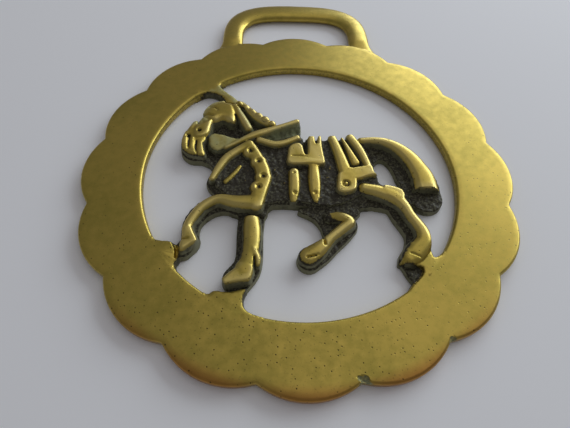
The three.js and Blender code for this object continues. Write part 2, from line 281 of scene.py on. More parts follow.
def plate_tree(sizes):
    tree, given = new_tree("scalloped_ring", sizes)
    size = given.outputs
    steps = sum(SECTION.values())
    around = add(
        tree, "ShaderNodeMath", {0: size["Lobes"], 1: float(STEPS_A_LOBE), 2: 1.0}, operation="MULTIPLY_ADD"
    )
    grid = add(
        tree,
        "GeometryNodeMeshGrid",
        {"Size X": 1.0, "Size Y": 1.0, "Vertices X": around, "Vertices Y": steps + 1},
    )
    place = add(tree, "ShaderNodeSeparateXYZ", {0: add(tree, "GeometryNodeInputPosition")})
    u = add(tree, "ShaderNodeMath", {0: place.outputs["X"], 1: 0.5}, operation="ADD")
    v = add(tree, "ShaderNodeMath", {0: place.outputs["Y"], 1: 0.5}, operation="ADD")
    angle = add(tree, "ShaderNodeMath", {0: u, 1: math.tau}, operation="MULTIPLY")

    # Angle from the middle of the nearest lobe, and from the middle of the next one.
    count = add(tree, "ShaderNodeMath", {0: u, 1: size["Lobes"], 2: 0.5}, operation="MULTIPLY_ADD")
    part = add(tree, "ShaderNodeMath", {0: count}, operation="FRACT")
    centred = add(tree, "ShaderNodeMath", {0: part, 1: 0.5}, operation="SUBTRACT")
    pitch = add(tree, "ShaderNodeMath", {0: math.tau, 1: size["Lobes"]}, operation="DIVIDE")
    near = add(tree, "ShaderNodeMath", {0: centred, 1: pitch}, operation="MULTIPLY")
    away = add(tree, "ShaderNodeMath", {0: near}, operation="ABSOLUTE")
    far = add(tree, "ShaderNodeMath", {0: pitch, 1: away}, operation="SUBTRACT")

    # Every lobe is an arc of this radius, centred this far out.
    half = add(tree, "ShaderNodeMath", {0: pitch, 1: 0.5}, operation="MULTIPLY")
    inset, chord = around_circle(tree, size["Notch radius"], half)
    rise = add(tree, "ShaderNodeMath", {0: size["Lobe radius"], 1: inset}, operation="SUBTRACT")
    chord_squared = add(tree, "ShaderNodeMath", {0: chord, 1: chord}, operation="MULTIPLY")
    squares = add(tree, "ShaderNodeMath", {0: rise, 1: rise, 2: chord_squared}, operation="MULTIPLY_ADD")
    twice = add(tree, "ShaderNodeMath", {0: rise, 1: 2.0}, operation="MULTIPLY")
    arc = add(tree, "ShaderNodeMath", {0: squares, 1: twice}, operation="DIVIDE")
    middle = add(tree, "ShaderNodeMath", {0: size["Lobe radius"], 1: arc}, operation="SUBTRACT")
    reach = []
    for turn in (near, far):
        along, side = around_circle(tree, middle, turn)
        squared = add(tree, "ShaderNodeMath", {0: arc, 1: 2.0}, operation="POWER")
        side_squared = add(tree, "ShaderNodeMath", {0: side, 1: side}, operation="MULTIPLY")
        rest = add(tree, "ShaderNodeMath", {0: squared, 1: side_squared}, operation="SUBTRACT")
        root = add(tree, "ShaderNodeMath", {0: rest}, operation="SQRT")
        reach.append(add(tree, "ShaderNodeMath", {0: along, 1: root}, operation="ADD"))
    rim = add(tree, "ShaderNodeMath", {0: reach[0], 1: reach[1], 2: NOTCH_FILLET}, operation="SMOOTH_MAX")
    rim = add(tree, "ShaderNodeMath", {0: rim, 1: size["Lobe radius"]}, operation="MINIMUM")

    # Progress through each stretch of the section, from 0 to 1.
    progress, start = {}, 0
    for name, share in SECTION.items():
        stretch = add(
            tree,
            "ShaderNodeMapRange",
            {"Value": v, "From Min": start / steps, "From Max": (start + share) / steps},
        )
        progress[name] = stretch
        start += share
    turned = None
    for name in SECTION:
        if "edge" not in name:
            continue
        feeds = {0: progress[name], 1: turned if turned else 0.0}
        turned = add(tree, "ShaderNodeMath", feeds, operation="ADD")
    sweep = add(
        tree, "ShaderNodeMath", {0: turned, 1: -math.pi / 2, 2: math.pi / 2}, operation="MULTIPLY_ADD"
    )
    across = add(tree, "ShaderNodeMath", {0: progress["top"], 1: progress["back"]}, operation="SUBTRACT")
    up = add(tree, "ShaderNodeMath", {0: progress["inside"], 1: progress["rim"]}, operation="SUBTRACT")
    band = add(tree, "ShaderNodeMath", {0: rim, 1: size["Hole radius"]}, operation="SUBTRACT")
    flat = add(tree, "ShaderNodeMath", {0: size["Edge radius"], 1: -2.0, 2: band}, operation="MULTIPLY_ADD")
    wall = add(
        tree,
        "ShaderNodeMath",
        {0: size["Edge radius"], 1: -2.0, 2: size["Thickness"]},
        operation="MULTIPLY_ADD",
    )
    inner = add(tree, "ShaderNodeMath", {0: size["Hole radius"], 1: size["Edge radius"]}, operation="ADD")
    radius = add(tree, "ShaderNodeMath", {0: flat, 1: across, 2: inner}, operation="MULTIPLY_ADD")
    cosine = add(tree, "ShaderNodeMath", {0: sweep}, operation="COSINE")
    radius = add(
        tree, "ShaderNodeMath", {0: cosine, 1: size["Edge radius"], 2: radius}, operation="MULTIPLY_ADD"
    )
    sine = add(tree, "ShaderNodeMath", {0: sweep}, operation="SINE")
    top = add(tree, "ShaderNodeMath", {0: size["Thickness"], 1: size["Edge radius"]}, operation="SUBTRACT")
    height = add(tree, "ShaderNodeMath", {0: wall, 1: up, 2: top}, operation="MULTIPLY_ADD")
    height = add(
        tree, "ShaderNodeMath", {0: sine, 1: size["Edge radius"], 2: height}, operation="MULTIPLY_ADD"
    )

    east, north = around_circle(tree, radius, angle)
    spot = add(tree, "ShaderNodeCombineXYZ", {"X": east, "Y": north, "Z": height})
    placed = add(tree, "GeometryNodeSetPosition", {"Geometry": grid.outputs["Mesh"], "Position": spot})
    sewn = add(tree, "GeometryNodeMergeByDistance", {"Geometry": placed, "Distance": 0.001})
    finish_tree(tree, given, sewn)
    return tree


class HORSEBRASS_OT_plate(bpy.types.Operator):
    """Make the scalloped ring"""

    bl_idname = "horse_brass.plate"
    bl_label = "Make ring"

    def execute(self, context):
        size = settings().plate
        sizes = {
            "Lobes": size.lobes,
            "Lobe radius": LOBE_RADIUS - INSIDE,
            "Notch radius": size.notch,
            "Hole radius": size.hole,
            "Thickness": size.thickness,
            "Edge radius": size.softness,
            "Material": brass(),
        }
        grow("ring", plate_tree(sizes), sizes)
        return {"FINISHED"}


# ---- The hanger: an oval bar bent over the slot, its legs running out into the ring ----

BAR_STEPS, BAR_SIDES = 96, 28
LEG_SHARE = 0.14  # share of the path that each leg takes
INNER_SQUARENESS, OUTER_SQUARENESS = 3.5, 2.9  # powers of the arch's superellipses
OVAL = 2.5  # power of the bar's section
LEG_DEPTH = 0.14  # how far a leg lies below the ring's face, mm


def hanger_tree(sizes):
    tree, given = new_tree("strap_hanger", sizes)
    size = given.outputs
    grid = add(
        tree,
        "GeometryNodeMeshGrid",
        {"Size X": 1.0, "Size Y": 1.0, "Vertices X": BAR_STEPS + 1, "Vertices Y": BAR_SIDES + 1},
    )
    place = add(tree, "ShaderNodeSeparateXYZ", {0: add(tree, "GeometryNodeInputPosition")})
    u = add(tree, "ShaderNodeMath", {0: place.outputs["X"], 1: 0.5}, operation="ADD")
    turn = add(tree, "ShaderNodeMath", {0: place.outputs["Y"], 1: math.tau}, operation="MULTIPLY")
    arch = add(
        tree,
        "ShaderNodeMapRange",
        {"Value": u, "From Min": LEG_SHARE, "From Max": 1 - LEG_SHARE, "To Min": math.pi, "To Max": 0.0},
    )
    left = add(tree, "ShaderNodeMapRange", {"Value": u, "From Min": LEG_SHARE, "From Max": 0.0})
    right = add(tree, "ShaderNodeMapRange", {"Value": u, "From Min": 1 - LEG_SHARE, "From Max": 1.0})
    leg = add(tree, "ShaderNodeMath", {0: left, 1: right}, operation="ADD")
    run = add(tree, "ShaderNodeMath", {0: size["Spring line"], 1: size["Foot"]}, operation="SUBTRACT")
    fall = add(tree, "ShaderNodeMath", {0: leg, 1: run}, operation="MULTIPLY")
    cosine = add(tree, "ShaderNodeMath", {0: arch}, operation="COSINE")
    sine = add(tree, "ShaderNodeMath", {0: arch}, operation="SINE")
    sign = add(tree, "ShaderNodeMath", {0: cosine}, operation="SIGN")
    cosine = add(tree, "ShaderNodeMath", {0: cosine}, operation="ABSOLUTE")
    sine = add(tree, "ShaderNodeMath", {0: sine}, operation="ABSOLUTE")
    inner_half = add(tree, "ShaderNodeMath", {0: size["Slot width"], 1: 0.5}, operation="MULTIPLY")
    outer_half = add(tree, "ShaderNodeMath", {0: inner_half, 1: size["Leg width"]}, operation="ADD")
    edges = []
    for half, top, power, flare in (
        (inner_half, size["Slot top"], INNER_SQUARENESS, False),
        (outer_half, size["Crown"], OUTER_SQUARENESS, True),
    ):
        out = add(tree, "ShaderNodeMath", {0: cosine, 1: 2 / power}, operation="POWER")
        out = add(tree, "ShaderNodeMath", {0: out, 1: half}, operation="MULTIPLY")
        if flare:
            spread = add(tree, "ShaderNodeMath", {0: leg, 1: 2.0}, operation="POWER")
            out = add(
                tree, "ShaderNodeMath", {0: spread, 1: size["Flare"], 2: out}, operation="MULTIPLY_ADD"
            )
        out = add(tree, "ShaderNodeMath", {0: out, 1: sign, 2: size["Shift"]}, operation="MULTIPLY_ADD")
        rise = add(tree, "ShaderNodeMath", {0: top, 1: size["Spring line"]}, operation="SUBTRACT")
        over = add(tree, "ShaderNodeMath", {0: sine, 1: 2 / power}, operation="POWER")
        over = add(
            tree, "ShaderNodeMath", {0: over, 1: rise, 2: size["Spring line"]}, operation="MULTIPLY_ADD"
        )
        over = add(tree, "ShaderNodeMath", {0: over, 1: fall}, operation="SUBTRACT")
        edges.append(add(tree, "ShaderNodeCombineXYZ", {"X": out, "Y": over}))
    # The bar's oval section lies between the two edges, and pinches shut at both ends.
    shut = add(tree, "ShaderNodeMath", {0: leg, 1: 0.999}, operation="LESS_THAN")
    parts = []
    for kind in ("COSINE", "SINE"):
        wave = add(tree, "ShaderNodeMath", {0: turn}, operation=kind)
        size_of = add(tree, "ShaderNodeMath", {0: wave}, operation="ABSOLUTE")
        size_of = add(tree, "ShaderNodeMath", {0: size_of, 1: 2 / OVAL}, operation="POWER")
        size_of = add(
            tree,
            "ShaderNodeMath",
            {0: size_of, 1: add(tree, "ShaderNodeMath", {0: wave}, operation="SIGN")},
            operation="MULTIPLY",
        )
        parts.append(add(tree, "ShaderNodeMath", {0: size_of, 1: shut}, operation="MULTIPLY"))
    between = add(tree, "ShaderNodeMapRange", {"Value": parts[0], "From Min": -1.0, "From Max": 1.0})
    spot = add(
        tree,
        "ShaderNodeMix",
        {"Factor": between, 4: edges[0], 5: edges[1]},
        data_type="VECTOR",
        clamp_factor=False,
    )
    spot_out = spot.outputs[1]
    low = add(tree, "ShaderNodeMath", {0: size["Plate"], 1: LEG_DEPTH}, operation="SUBTRACT")
    thinning = add(
        tree,
        "ShaderNodeMapRange",
        {"Value": leg, "From Min": -0.2, "From Max": 0.75, "To Min": size["Thickness"], "To Max": low},
        interpolation_type="SMOOTHSTEP",
    )
    half_thick = add(tree, "ShaderNodeMath", {0: thinning, 1: 0.5}, operation="MULTIPLY")
    height = add(
        tree, "ShaderNodeMath", {0: parts[1], 1: half_thick, 2: half_thick}, operation="MULTIPLY_ADD"
    )
    lift = add(tree, "ShaderNodeCombineXYZ", {"Z": height})
    spot = add(tree, "ShaderNodeVectorMath", {0: spot_out, 1: lift}, operation="ADD")
    placed = add(tree, "GeometryNodeSetPosition", {"Geometry": grid.outputs["Mesh"], "Position": spot})
    sewn = add(tree, "GeometryNodeMergeByDistance", {"Geometry": placed, "Distance": 0.001})
    finish_tree(tree, given, sewn)
    return tree


class HORSEBRASS_OT_hanger(bpy.types.Operator):
    """Make the strap hanger"""

    bl_idname = "horse_brass.hanger"
    bl_label = "Make hanger"

    def execute(self, context):
        size = settings().hanger
        sizes = {
            "Slot width": size.slot_width,
            "Slot top": size.slot_top,
            "Leg width": size.leg_width,
            "Crown": CROWN - INSIDE,
            "Thickness": size.thickness,
            "Plate": settings().plate.thickness,
            "Spring line": size.spring,
            "Foot": size.foot,
            "Flare": size.flare,
            "Shift": size.shift,
            "Material": brass(),
        }
        grow("hanger", hanger_tree(sizes), sizes)
        return {"FINISHED"}


# ---- The horse: a height field on a fine grid ----

# A station is the place of a run's crest, its half width and its height.
RAISED_FORELEG = [
    (-8.6, -7.9, 1.9, 3.4), (-11.9, -7.8, 1.55, 3.4), (-15.0, -7.3, 1.2, 3.3), (-17.5, -8.8, 1.15, 3.2),
    (-19.0, -11.0, 1.1, 3.1), (-19.8, -13.2, 1.0, 3.1), (-19.4, -15.0, 1.1, 3.0),
]
STANDING_FORELEG = [
    (-8.9, -11.6, 1.6, 3.1), (-8.8, -13.5, 1.75, 3.2), (-8.8, -16.5, 1.65, 3.1), (-9.2, -19.2, 1.65, 3.1),
    (-10.0, -20.8, 1.7, 3.1),
]
FORE_FEATHER = [(-8.4, -17.4, 0.8, 3.1), (-7.8, -19.0, 0.85, 3.1), (-7.7, -20.0, 0.7, 2.9)]
RAISED_HIND_LEG = [
    (4.9, -10.6, 1.3, 2.5), (6.8, -10.9, 1.2, 3.1), (8.1, -12.0, 1.25, 3.4), (6.6, -13.4, 1.15, 3.3),
    (4.5, -15.2, 1.15, 3.2), (2.6, -17.1, 1.6, 3.2), (0.75, -18.5, 1.9, 3.0),
]
STANDING_HIND_LEG = [
    (11.6, -4.6, 1.4, 3.2), (14.2, -5.4, 1.6, 3.4), (16.7, -6.6, 1.6, 3.5), (18.2, -8.4, 1.35, 3.4),
    (19.1, -10.6, 1.2, 3.3), (20.5, -13.4, 1.4, 3.2), (20.6, -15.4, 1.6, 3.1), (19.0, -17.4, 1.9, 2.9),
    (17.7, -18.6, 1.5, 2.7),
]
TAIL = [
    (12.2, 6.9, 0.95, 3.2), (14.6, 7.0, 0.95, 3.3), (17.1, 6.5, 1.2, 3.4), (19.4, 5.0, 1.5, 3.5),
    (21.2, 2.8, 1.8, 3.6), (22.4, 0.2, 2.05, 3.6), (23.1, -2.4, 2.35, 3.6), (23.1, -6.0, 2.5, 3.4),
]
NECK = [(-13.0, 15.8, 1.1, 3.4), (-12.0, 13.8, 1.05, 3.4), (-11.0, 11.8, 1.05, 3.4), (-10.1, 10.0, 1.0, 3.3)]
CREST = [(-11.7, 16.6, 1.0, 3.3), (-9.4, 14.1, 1.15, 3.3), (-7.0, 12.0, 1.15, 3.3), (-5.2, 10.6, 0.7, 3.1)]
BROW = [(-15.6, 16.9, 0.8, 3.2), (-17.3, 16.3, 0.8, 3.2), (-18.7, 14.8, 0.7, 3.1), (-19.1, 13.8, 0.6, 3.0)]
EYE = [(-17.5, 14.3, 0.7, 3.3), (-17.4, 13.9, 0.7, 3.3)]
NOSE_LUMP = [(-19.0, 12.1, 1.0, 3.1), (-18.6, 11.6, 0.9, 3.1)]
NOSTRIL_LUMP = [(-20.9, 11.2, 0.7, 2.9), (-21.4, 9.9, 0.6, 2.9)]
LIPS = [(-22.2, 8.6, 0.75, 2.9), (-22.4, 6.6, 0.8, 3.0), (-22.2, 4.8, 0.75, 2.8)]
MOUTH = [(-20.9, 7.0, 0.55, 3.1), (-20.9, 5.0, 0.6, 3.0), (-20.6, 3.4, 0.55, 2.6)]
CHIN = [(-19.5, 5.8, 0.45, 2.7), (-19.4, 4.0, 0.55, 2.7), (-18.6, 2.9, 0.5, 2.4)]
HAME = [
    (-14.3, 4.8, 0.55, 3.0), (-12.0, 6.1, 0.65, 3.2), (-9.0, 7.8, 0.95, 3.5), (-6.4, 8.9, 0.85, 3.6),
    (-3.2, 10.2, 0.7, 3.6), (-0.4, 11.5, 0.7, 3.6),
]
LOWER_HAME = [(-7.9, 6.6, 0.8, 3.4), (-5.0, 5.6, 0.85, 3.4), (-2.8, 6.0, 0.85, 3.4), (-0.5, 7.2, 0.8, 3.4)]
COLLAR = [
    (-9.8, 5.4, 1.2, 3.5), (-12.0, 3.9, 1.05, 3.4), (-14.0, 2.0, 1.0, 3.4), (-15.3, -0.3, 0.9, 3.3),
    (-16.4, -2.8, 0.7, 3.1),
]
BREAST_BAND = [
    (-9.5, 4.6, 1.4, 3.5), (-8.4, 2.3, 1.5, 3.5), (-7.3, -0.4, 1.6, 3.55), (-7.0, -2.8, 1.65, 3.5),
    (-7.6, -5.4, 1.6, 3.45), (-8.3, -8.4, 1.5, 3.3),
]
TRACE = [(-13.9, -3.4, 0.6, 2.75), (-12.5, -1.6, 0.55, 2.8), (-11.4, 0.2, 0.5, 2.7)]
GIRTHS = [
    [(-1.3, -1.3, 1.15, 3.3), (-1.3, -3.4, 1.2, 3.35), (-1.4, -5.6, 1.1, 3.1), (-1.6, -7.8, 0.6, 2.7)],
    [(2.45, 0.4, 1.2, 3.25), (2.45, -2.6, 1.3, 3.35), (2.45, -5.0, 1.2, 3.1), (2.5, -7.3, 0.7, 2.7)],
]
HIP_STRAP = [(6.5, 7.4, 1.0, 3.3), (7.2, 4.6, 1.15, 3.4), (7.9, 1.4, 1.3, 3.5), (8.4, -1.4, 1.5, 3.5)]
RUMP_STRAP = [(10.1, 7.5, 1.05, 3.4), (11.4, 4.8, 0.95, 3.5), (12.3, 2.2, 0.9, 3.4), (12.8, 0.0, 0.9, 3.4)]
CROUP_STRIP = [(8.4, 7.3, 0.4, 3.0), (9.4, 4.6, 0.75, 3.05), (10.5, 1.4, 1.1, 3.05)]
BUCKLE = [(13.8, 0.6, 0.4, 2.9), (14.0, -0.6, 0.45, 2.9)]
LIMBS = [RAISED_FORELEG, STANDING_FORELEG, FORE_FEATHER, RAISED_HIND_LEG, STANDING_HIND_LEG, TAIL]
STRAPS = [
    HAME, LOWER_HAME, COLLAR, BREAST_BAND, HIP_STRAP, RUMP_STRAP, CROUP_STRIP, BUCKLE, TRACE, *GIRTHS,
]
HEAD = [NECK, CREST, BROW, EYE, NOSE_LUMP, NOSTRIL_LUMP, LIPS, MOUTH, CHIN]

# Raised areas: a closed outline, its height and the width of its rounded edge.
SKULL = [
    (-13.2, 16.8), (-15.4, 17.4), (-17.6, 17.0), (-19.2, 14.8), (-19.5, 12.6), (-18.4, 11.4), (-16.6, 11.2),
    (-15.4, 11.9), (-14.4, 11.3), (-13.0, 10.8), (-12.3, 12.6), (-12.5, 15.0),
]
CHEEK_STRAP = [
    (-17.2, 12.4), (-19.4, 11.3), (-20.9, 10.0), (-21.0, 8.0), (-20.4, 6.8), (-18.8, 7.0), (-17.7, 8.2),
    (-17.3, 10.2),
]
MUZZLE = [
    (-19.9, 12.4), (-21.6, 11.4), (-22.9, 8.0), (-23.1, 5.2), (-21.6, 3.2), (-19.2, 2.6), (-18.0, 2.8),
    (-18.4, 6.2), (-17.4, 8.8), (-17.8, 11.8),
]
JAW = [
    (-18.0, 7.6), (-17.8, 5.4), (-16.4, 3.9), (-14.6, 4.4), (-12.2, 5.7), (-10.2, 7.4), (-12.6, 7.6),
    (-15.4, 8.6), (-17.0, 8.8),
]
SADDLE = [
    (-2.5, 3.4), (-2.5, 0.5), (1.0, 0.3), (4.6, 0.4), (4.6, 3.2), (4.45, 5.4), (4.4, 7.6), (3.5, 7.7),
    (3.25, 5.8), (3.0, 7.7), (1.6, 7.6), (1.4, 5.2), (1.2, 3.0), (0.9, 3.6), (0.6, 5.2), (-0.4, 5.9),
    (-1.7, 5.4), (-2.3, 4.6),
]
HIP_BLOCK = [
    (7.0, -1.2), (6.4, -3.4), (6.3, -5.6), (7.6, -6.3), (9.6, -5.8), (10.3, -4.6), (10.4, -2.6), (9.6, -1.0),
]
BREECHING = [
    (8.6, 0.2), (9.6, -0.1), (12.4, 0.5), (13.6, 0.4), (14.0, -1.4), (14.7, -1.9), (12.6, -2.5),
    (10.4, -3.3), (8.4, -3.0),
]
FORE_HOOF = [
    (-20.7, -12.9), (-19.2, -12.6), (-18.3, -14.2), (-17.5, -16.1), (-18.6, -16.8), (-20.2, -18.0),
    (-20.9, -17.2), (-20.7, -15.2),
]
STANDING_HOOF = [
    (-10.8, -19.4), (-8.2, -20.2), (-8.3, -22.0), (-9.0, -23.3), (-11.2, -23.7), (-14.1, -24.3),
    (-13.9, -23.0), (-12.5, -21.4), (-11.3, -20.4),
]
HOCK_POINT = [(15.0, -4.0), (18.5, -5.1), (18.6, -7.4), (16.4, -7.6), (14.6, -6.0)]
RAISED = [
    (MUZZLE, 2.9, 0.9), (SKULL, 3.4, 1.6), (CHEEK_STRAP, 3.3, 0.9), (JAW, 2.75, 0.8),
    (SADDLE, 3.5, 0.5), (HIP_BLOCK, 3.5, 0.6), (BREECHING, 3.5, 0.6), (FORE_HOOF, 3.1, 0.7),
    (STANDING_HOOF, 3.05, 0.8), (HOCK_POINT, 3.45, 0.7),
]

# Closed outlines of the ground that carries the relief, and of the hide between the straps.
GROUND = [
    (-15.5, -5.9), (-17.5, -3), (-16.6, 0.6), (-18.8, 2.3), (-21.2, 2.6), (-23.0, 4.6), (-22.9, 7.9),
    (-21.4, 11.2), (-20.0, 12.4), (-19.0, 15.2), (-17.0, 17.4), (-13.4, 18.0), (-10.6, 16.6),
    (-8.0, 14.2), (-4.6, 11.6), (-2.6, 11.4), (0.4, 12.0), (0.4, 7.8), (6, 7.8), (11.8, 8),
    (13.6, 5.4), (13.6, 1), (15, -2.8), (18.4, -4.4), (17.4, -8.6), (13, -8), (9, -8.6), (4.6, -9.4),
    (1.2, -8.2), (-5.4, -7.9), (-7, -10.4), (-12.5, -9.6),
]
HIDE = [
    (-13.5, 3.6), (-16, -2.6), (-13.6, -6), (-8, -8), (-2, -7.2), (5, -8.4), (10.5, -6), (14.4, -2.6),
    (12.8, 5), (11.6, 7.4), (1, 7.4), (0.2, 11.2), (-4, 9.6), (-9, 7),
]
# The ground under a limb, as places and half widths, where it isn't even on both sides.
BASES = [
    [(-9.0, -10.4, 2.25), (-9.2, -13.5, 2.2), (-9.2, -18.0, 2.2), (-9.7, -20.4, 2.3), (-11.0, -22.2, 2.4)],
    [(-9.0, -7.6, 2.0), (-14.6, -7.3, 1.9), (-17.6, -8.9, 1.7), (-19.3, -11.4, 1.5), (-19.5, -14.0, 1.4),
     (-19.3, -15.3, 1.5), (-20.4, -16.9, 1.35)],
    [(8.2, -12.0, 1.5), (6.9, -13.8, 1.4), (4.8, -15.8, 1.45), (2.9, -17.4, 1.75), (0.85, -18.7, 2.0)],
    [(13.0, -5.6, 2.1), (16.8, -6.9, 2.0), (18.2, -10.0, 1.85), (19.8, -13.4, 1.9), (19.6, -16.4, 2.0),
     (17.9, -18.6, 1.7)],
]
GROIN = [(-0.6, -8.6), (1.9, -10.5), (3.2, -12.3), (3.9, -14.2), (6.5, -13.0), (8.8, -11.0), (10.0, -8.6)]
FORE_HOOF_WEB = [(-25.6, -15.6), (-21.9, -15.6), (-20.8, -17.2), (-21.6, -19.6), (-26, -20)]
STANDING_HOOF_WEB = [
    (-9.6, -24.0), (-12.2, -24.5), (-14.6, -24.3), (-15.3, -25.4), (-17.0, -27.4), (-12, -31),
    (-7.6, -30), (-9.5, -27.8), (-10, -25.6),
]
HIND_HOOF_WEB = [
    (21.4, -14.8), (19.4, -15.6), (17.2, -17.8), (15.9, -19.5), (17.5, -19.7), (19.6, -20.4),
    (19.0, -22.0), (17.6, -23.6), (19.0, -26.0), (24.6, -20.2), (23.4, -18.4), (21.9, -18.2),
]
POLL_TAB = [
    (-14.8, 17.4), (-15.7, 19.6), (-17.6, 21), (-19.4, 21.4), (-21.6, 21.2), (-23.4, 22.6), (-17.8, 26.6),
    (-17.1, 24.2), (-16.5, 22.9), (-15.3, 21.5), (-13.4, 19.7), (-12.2, 17.8),
]
TAIL_WEB = [
    (12.4, 6.4), (15.6, 6.3), (18.6, 4.4), (20.8, 0.8), (21.6, -2.6), (25.2, -4.6), (23.4, -6),
    (20.4, -7.2), (18.4, -6.6), (15, -4.6), (12.6, -1), (12.2, 3),
]
TAIL_HOLE = [
    (14.3, 1.9), (15.8, 3.3), (17.2, 2.4), (18.0, 0.5), (18.4, -1.5), (18.9, -3.4), (17.8, -4.3),
    (16.0, -3.9), (14.9, -2.8), (14.4, -0.6),
]
HOOF_POCKET = [(16.2, -18.6), (16.6, -20.2), (17.6, -22.4), (19.2, -24.2), (20.2, -21.6), (19.4, -19.4)]
LOW_WEBS = [(TAIL_WEB, 1.3), (HOOF_POCKET, 1.1)]
# Places on the head and the hame's trough where a pale green reflection is painted.
PAINTED_PALE_REFLECTIONS = [
    JAW,
    [(-15.2, 17.4), (-17.4, 17.8), (-19.4, 15.6), (-19.9, 13.4), (-18.8, 13.0), (-17.9, 15.0)],
    [(-18.4, 12.9), (-20.2, 12.5), (-21.9, 11.4), (-21.4, 10.3), (-19.2, 11.0), (-18.0, 11.5)],
    [(-7.4, 6.6), (-5.0, 7.2), (-0.2, 9.1), (0.4, 11.0), (-1.0, 10.9), (-5.6, 8.9)],
    [(-12.6, 15.6), (-10.6, 13.4), (-8.8, 10.6), (-7.4, 9.9), (-9.0, 8.6), (-11.4, 12.0)],
    [(-13.2, 17.6), (-14.9, 19.3), (-17.4, 21.2), (-21.4, 21.9), (-17.9, 25.8), (-16.0, 22.9), (-12.6, 18.8)],
]
TAIL_END = [(19.6, -5.15), (26.0, -5.35), (26.0, -9.0), (19.6, -9.0)]
LOW_GROUND = 1.45  # height of the ground at the foot of a limb, mm
RING_COVER = 0.012  # how far the webs' part of the ring hides inside the ring, mm
WEB_FILLET = 1.1  # blend between a web and the ring's inner edge, mm
RING_OVERLAP = 1.7  # how far the webs run into the ring, mm
MANE_LINE = [(-12.1, 16.4, 0.0), (-8.6, 13.5, 0.0), (-5.4, 10.9, 0.0)]

# Grooves are lines with half widths and depths, and dimples are places with radii and depths.
GROOVES = [
    [(-11.7, 15.4, 0.3, 0.7), (-10.5, 13.6, 0.4, 1.0), (-9.3, 11.9, 0.5, 1.1), (-8.2, 10.8, 0.55, 1.2),
     (-6.6, 10.2, 0.4, 0.9)],
    [(-18.5, 5.8, 0.5, 0.9), (-17.7, 4.0, 0.6, 1.1), (-16.0, 3.0, 0.65, 1.2), (-13.8, 4.0, 0.5, 1.1),
     (-11.6, 5.3, 0.3, 0.7)],
    [(-12.9, 13.4, 0.25, 0.3), (-12.3, 12.3, 0.3, 0.4), (-11.9, 11.2, 0.3, 0.4)],
    [(-6.9, 7.3, 0.5, 0.5), (-4.6, 7.9, 0.9, 0.9), (-2.0, 9.0, 1.05, 1.0), (0.3, 9.8, 1.1, 1.0)],
    [(1.0, 7.6, 0.3, 1.0), (1.0, 4.8, 0.28, 1.0), (1.2, 2.9, 0.2, 0.6)],
    [(-1.6, 2.35, 0.13, 0.22), (0.4, 2.35, 0.13, 0.22)],
    [(8.0, 7.6, 0.22, 0.6), (8.6, 5.0, 0.25, 0.7), (9.4, 1.2, 0.25, 0.7), (9.9, 0.3, 0.22, 0.6),
     (11.7, 0.7, 0.2, 0.5)],
    [(9.1, 7.6, 0.22, 0.6), (10.0, 5.0, 0.25, 0.7), (11.3, 1.8, 0.2, 0.6)],
    [(-20.1, 6.4, 0.3, 0.35), (-20.1, 4.6, 0.3, 0.4), (-19.7, 3.0, 0.25, 0.3)],
    [(-21.6, 7.8, 0.4, 0.3), (-21.6, 6.2, 0.35, 0.35), (-21.5, 4.4, 0.3, 0.3)],
    [(-18.2, 15.3, 0.4, 0.25), (-17.1, 15.2, 0.4, 0.35), (-16.5, 14.4, 0.35, 0.2)],
    [(-19.2, 13.2, 0.4, 0.3), (-18.3, 13.2, 0.45, 0.45), (-17.4, 12.9, 0.4, 0.3)],
    [(-20.2, 12.0, 0.3, 0.5), (-20.2, 11.0, 0.3, 0.4)],
    [(-15.4, 18.2, 0.25, 0.4), (-13.4, 17.7, 0.25, 0.4)],
    [(-10.9, -10.4, 0.45, 0.7), (-8.8, -10.4, 0.55, 0.9), (-7.0, -10.6, 0.4, 0.6)],
    [(-13.4, -24.1, 0.35, 0.8), (-11.2, -23.8, 0.5, 1.0), (-9.4, -23.4, 0.35, 0.8)],
    [(-20.9, -15.7, 0.25, 0.4), (-19.4, -15.4, 0.2, 0.25)],
    [(-21.9, -15.6, 0.45, 0.9), (-21.3, -17.0, 0.35, 0.8), (-21.2, -18.4, 0.3, 0.6)],
    [(17.6, -17.9, 0.16, 0.3), (19.5, -18.8, 0.14, 0.3)],
    [(15.9, -20.0, 0.3, 0.8), (17.6, -20.1, 0.3, 0.9), (19.2, -20.6, 0.35, 0.8)],
    [(0.4, -18.9, 0.2, 0.45), (2.3, -18.5, 0.2, 0.45)],
    [(3.3, -15.0, 0.25, 0.4), (3.5, -16.6, 0.3, 0.45)],
    [(-8.25, -18.8, 0.22, 0.5), (-8.2, -21.4, 0.25, 0.6)],
    [(-2.6, 0.0, 0.2, 0.5), (0.2, -0.1, 0.22, 0.6)],
]
DIMPLES = [
    (-15.6, 9.9, 1.8, 1.7), (-13.9, 10.1, 1.5, 1.5), (-16.6, 10.4, 1.0, 1.1), (-12.4, 9.2, 1.1, 1.1),
    (-19.7, 8.9, 0.55, 0.9), (-21.9, 7.8, 0.6, 0.5), (-1.3, -1.6, 0.28, 0.3), (-1.3, -6.0, 0.5, 0.3),
    (2.4, -5.9, 0.5, 0.3),
]
STUDS = [(-9.5, 3.6), (-7.9, 1.05), (-7.0, -2.5), (-7.8, -4.9)]
STUD_BOSS, STUD_RADIUS, STUD_DEPTH = 1.75, 0.75, 0.55
STUD_HEIGHT = 3.55
HIP_RING = (8.1, -4.1)
HIP_RING_RADIUS, HIP_RING_LINE, HIP_RING_DEPTH = 0.55, 0.3, 0.4
AREA_POWER, AREA_BLEND = 2.2, 0.12  # roundness of the raised areas, and their blend with the rest, mm
LEAST_GROUND = 1.0  # the ground isn't cut lower than this, mm
DRAFT = 0.15  # how much wider a wall is at its foot than at its top, mm
SQUEEZE = 3.1  # heights above this are drawn in below the casting's full height, mm
SNAP = 0.02  # a vertex this near the back or the ring's face is moved onto it, mm
HORSE_TRIANGLES = 150000
FIELD_LOW, FIELD_HIGH = (-29.5, -32.0), (29.5, 29.5)  # corners of the carved part, mm
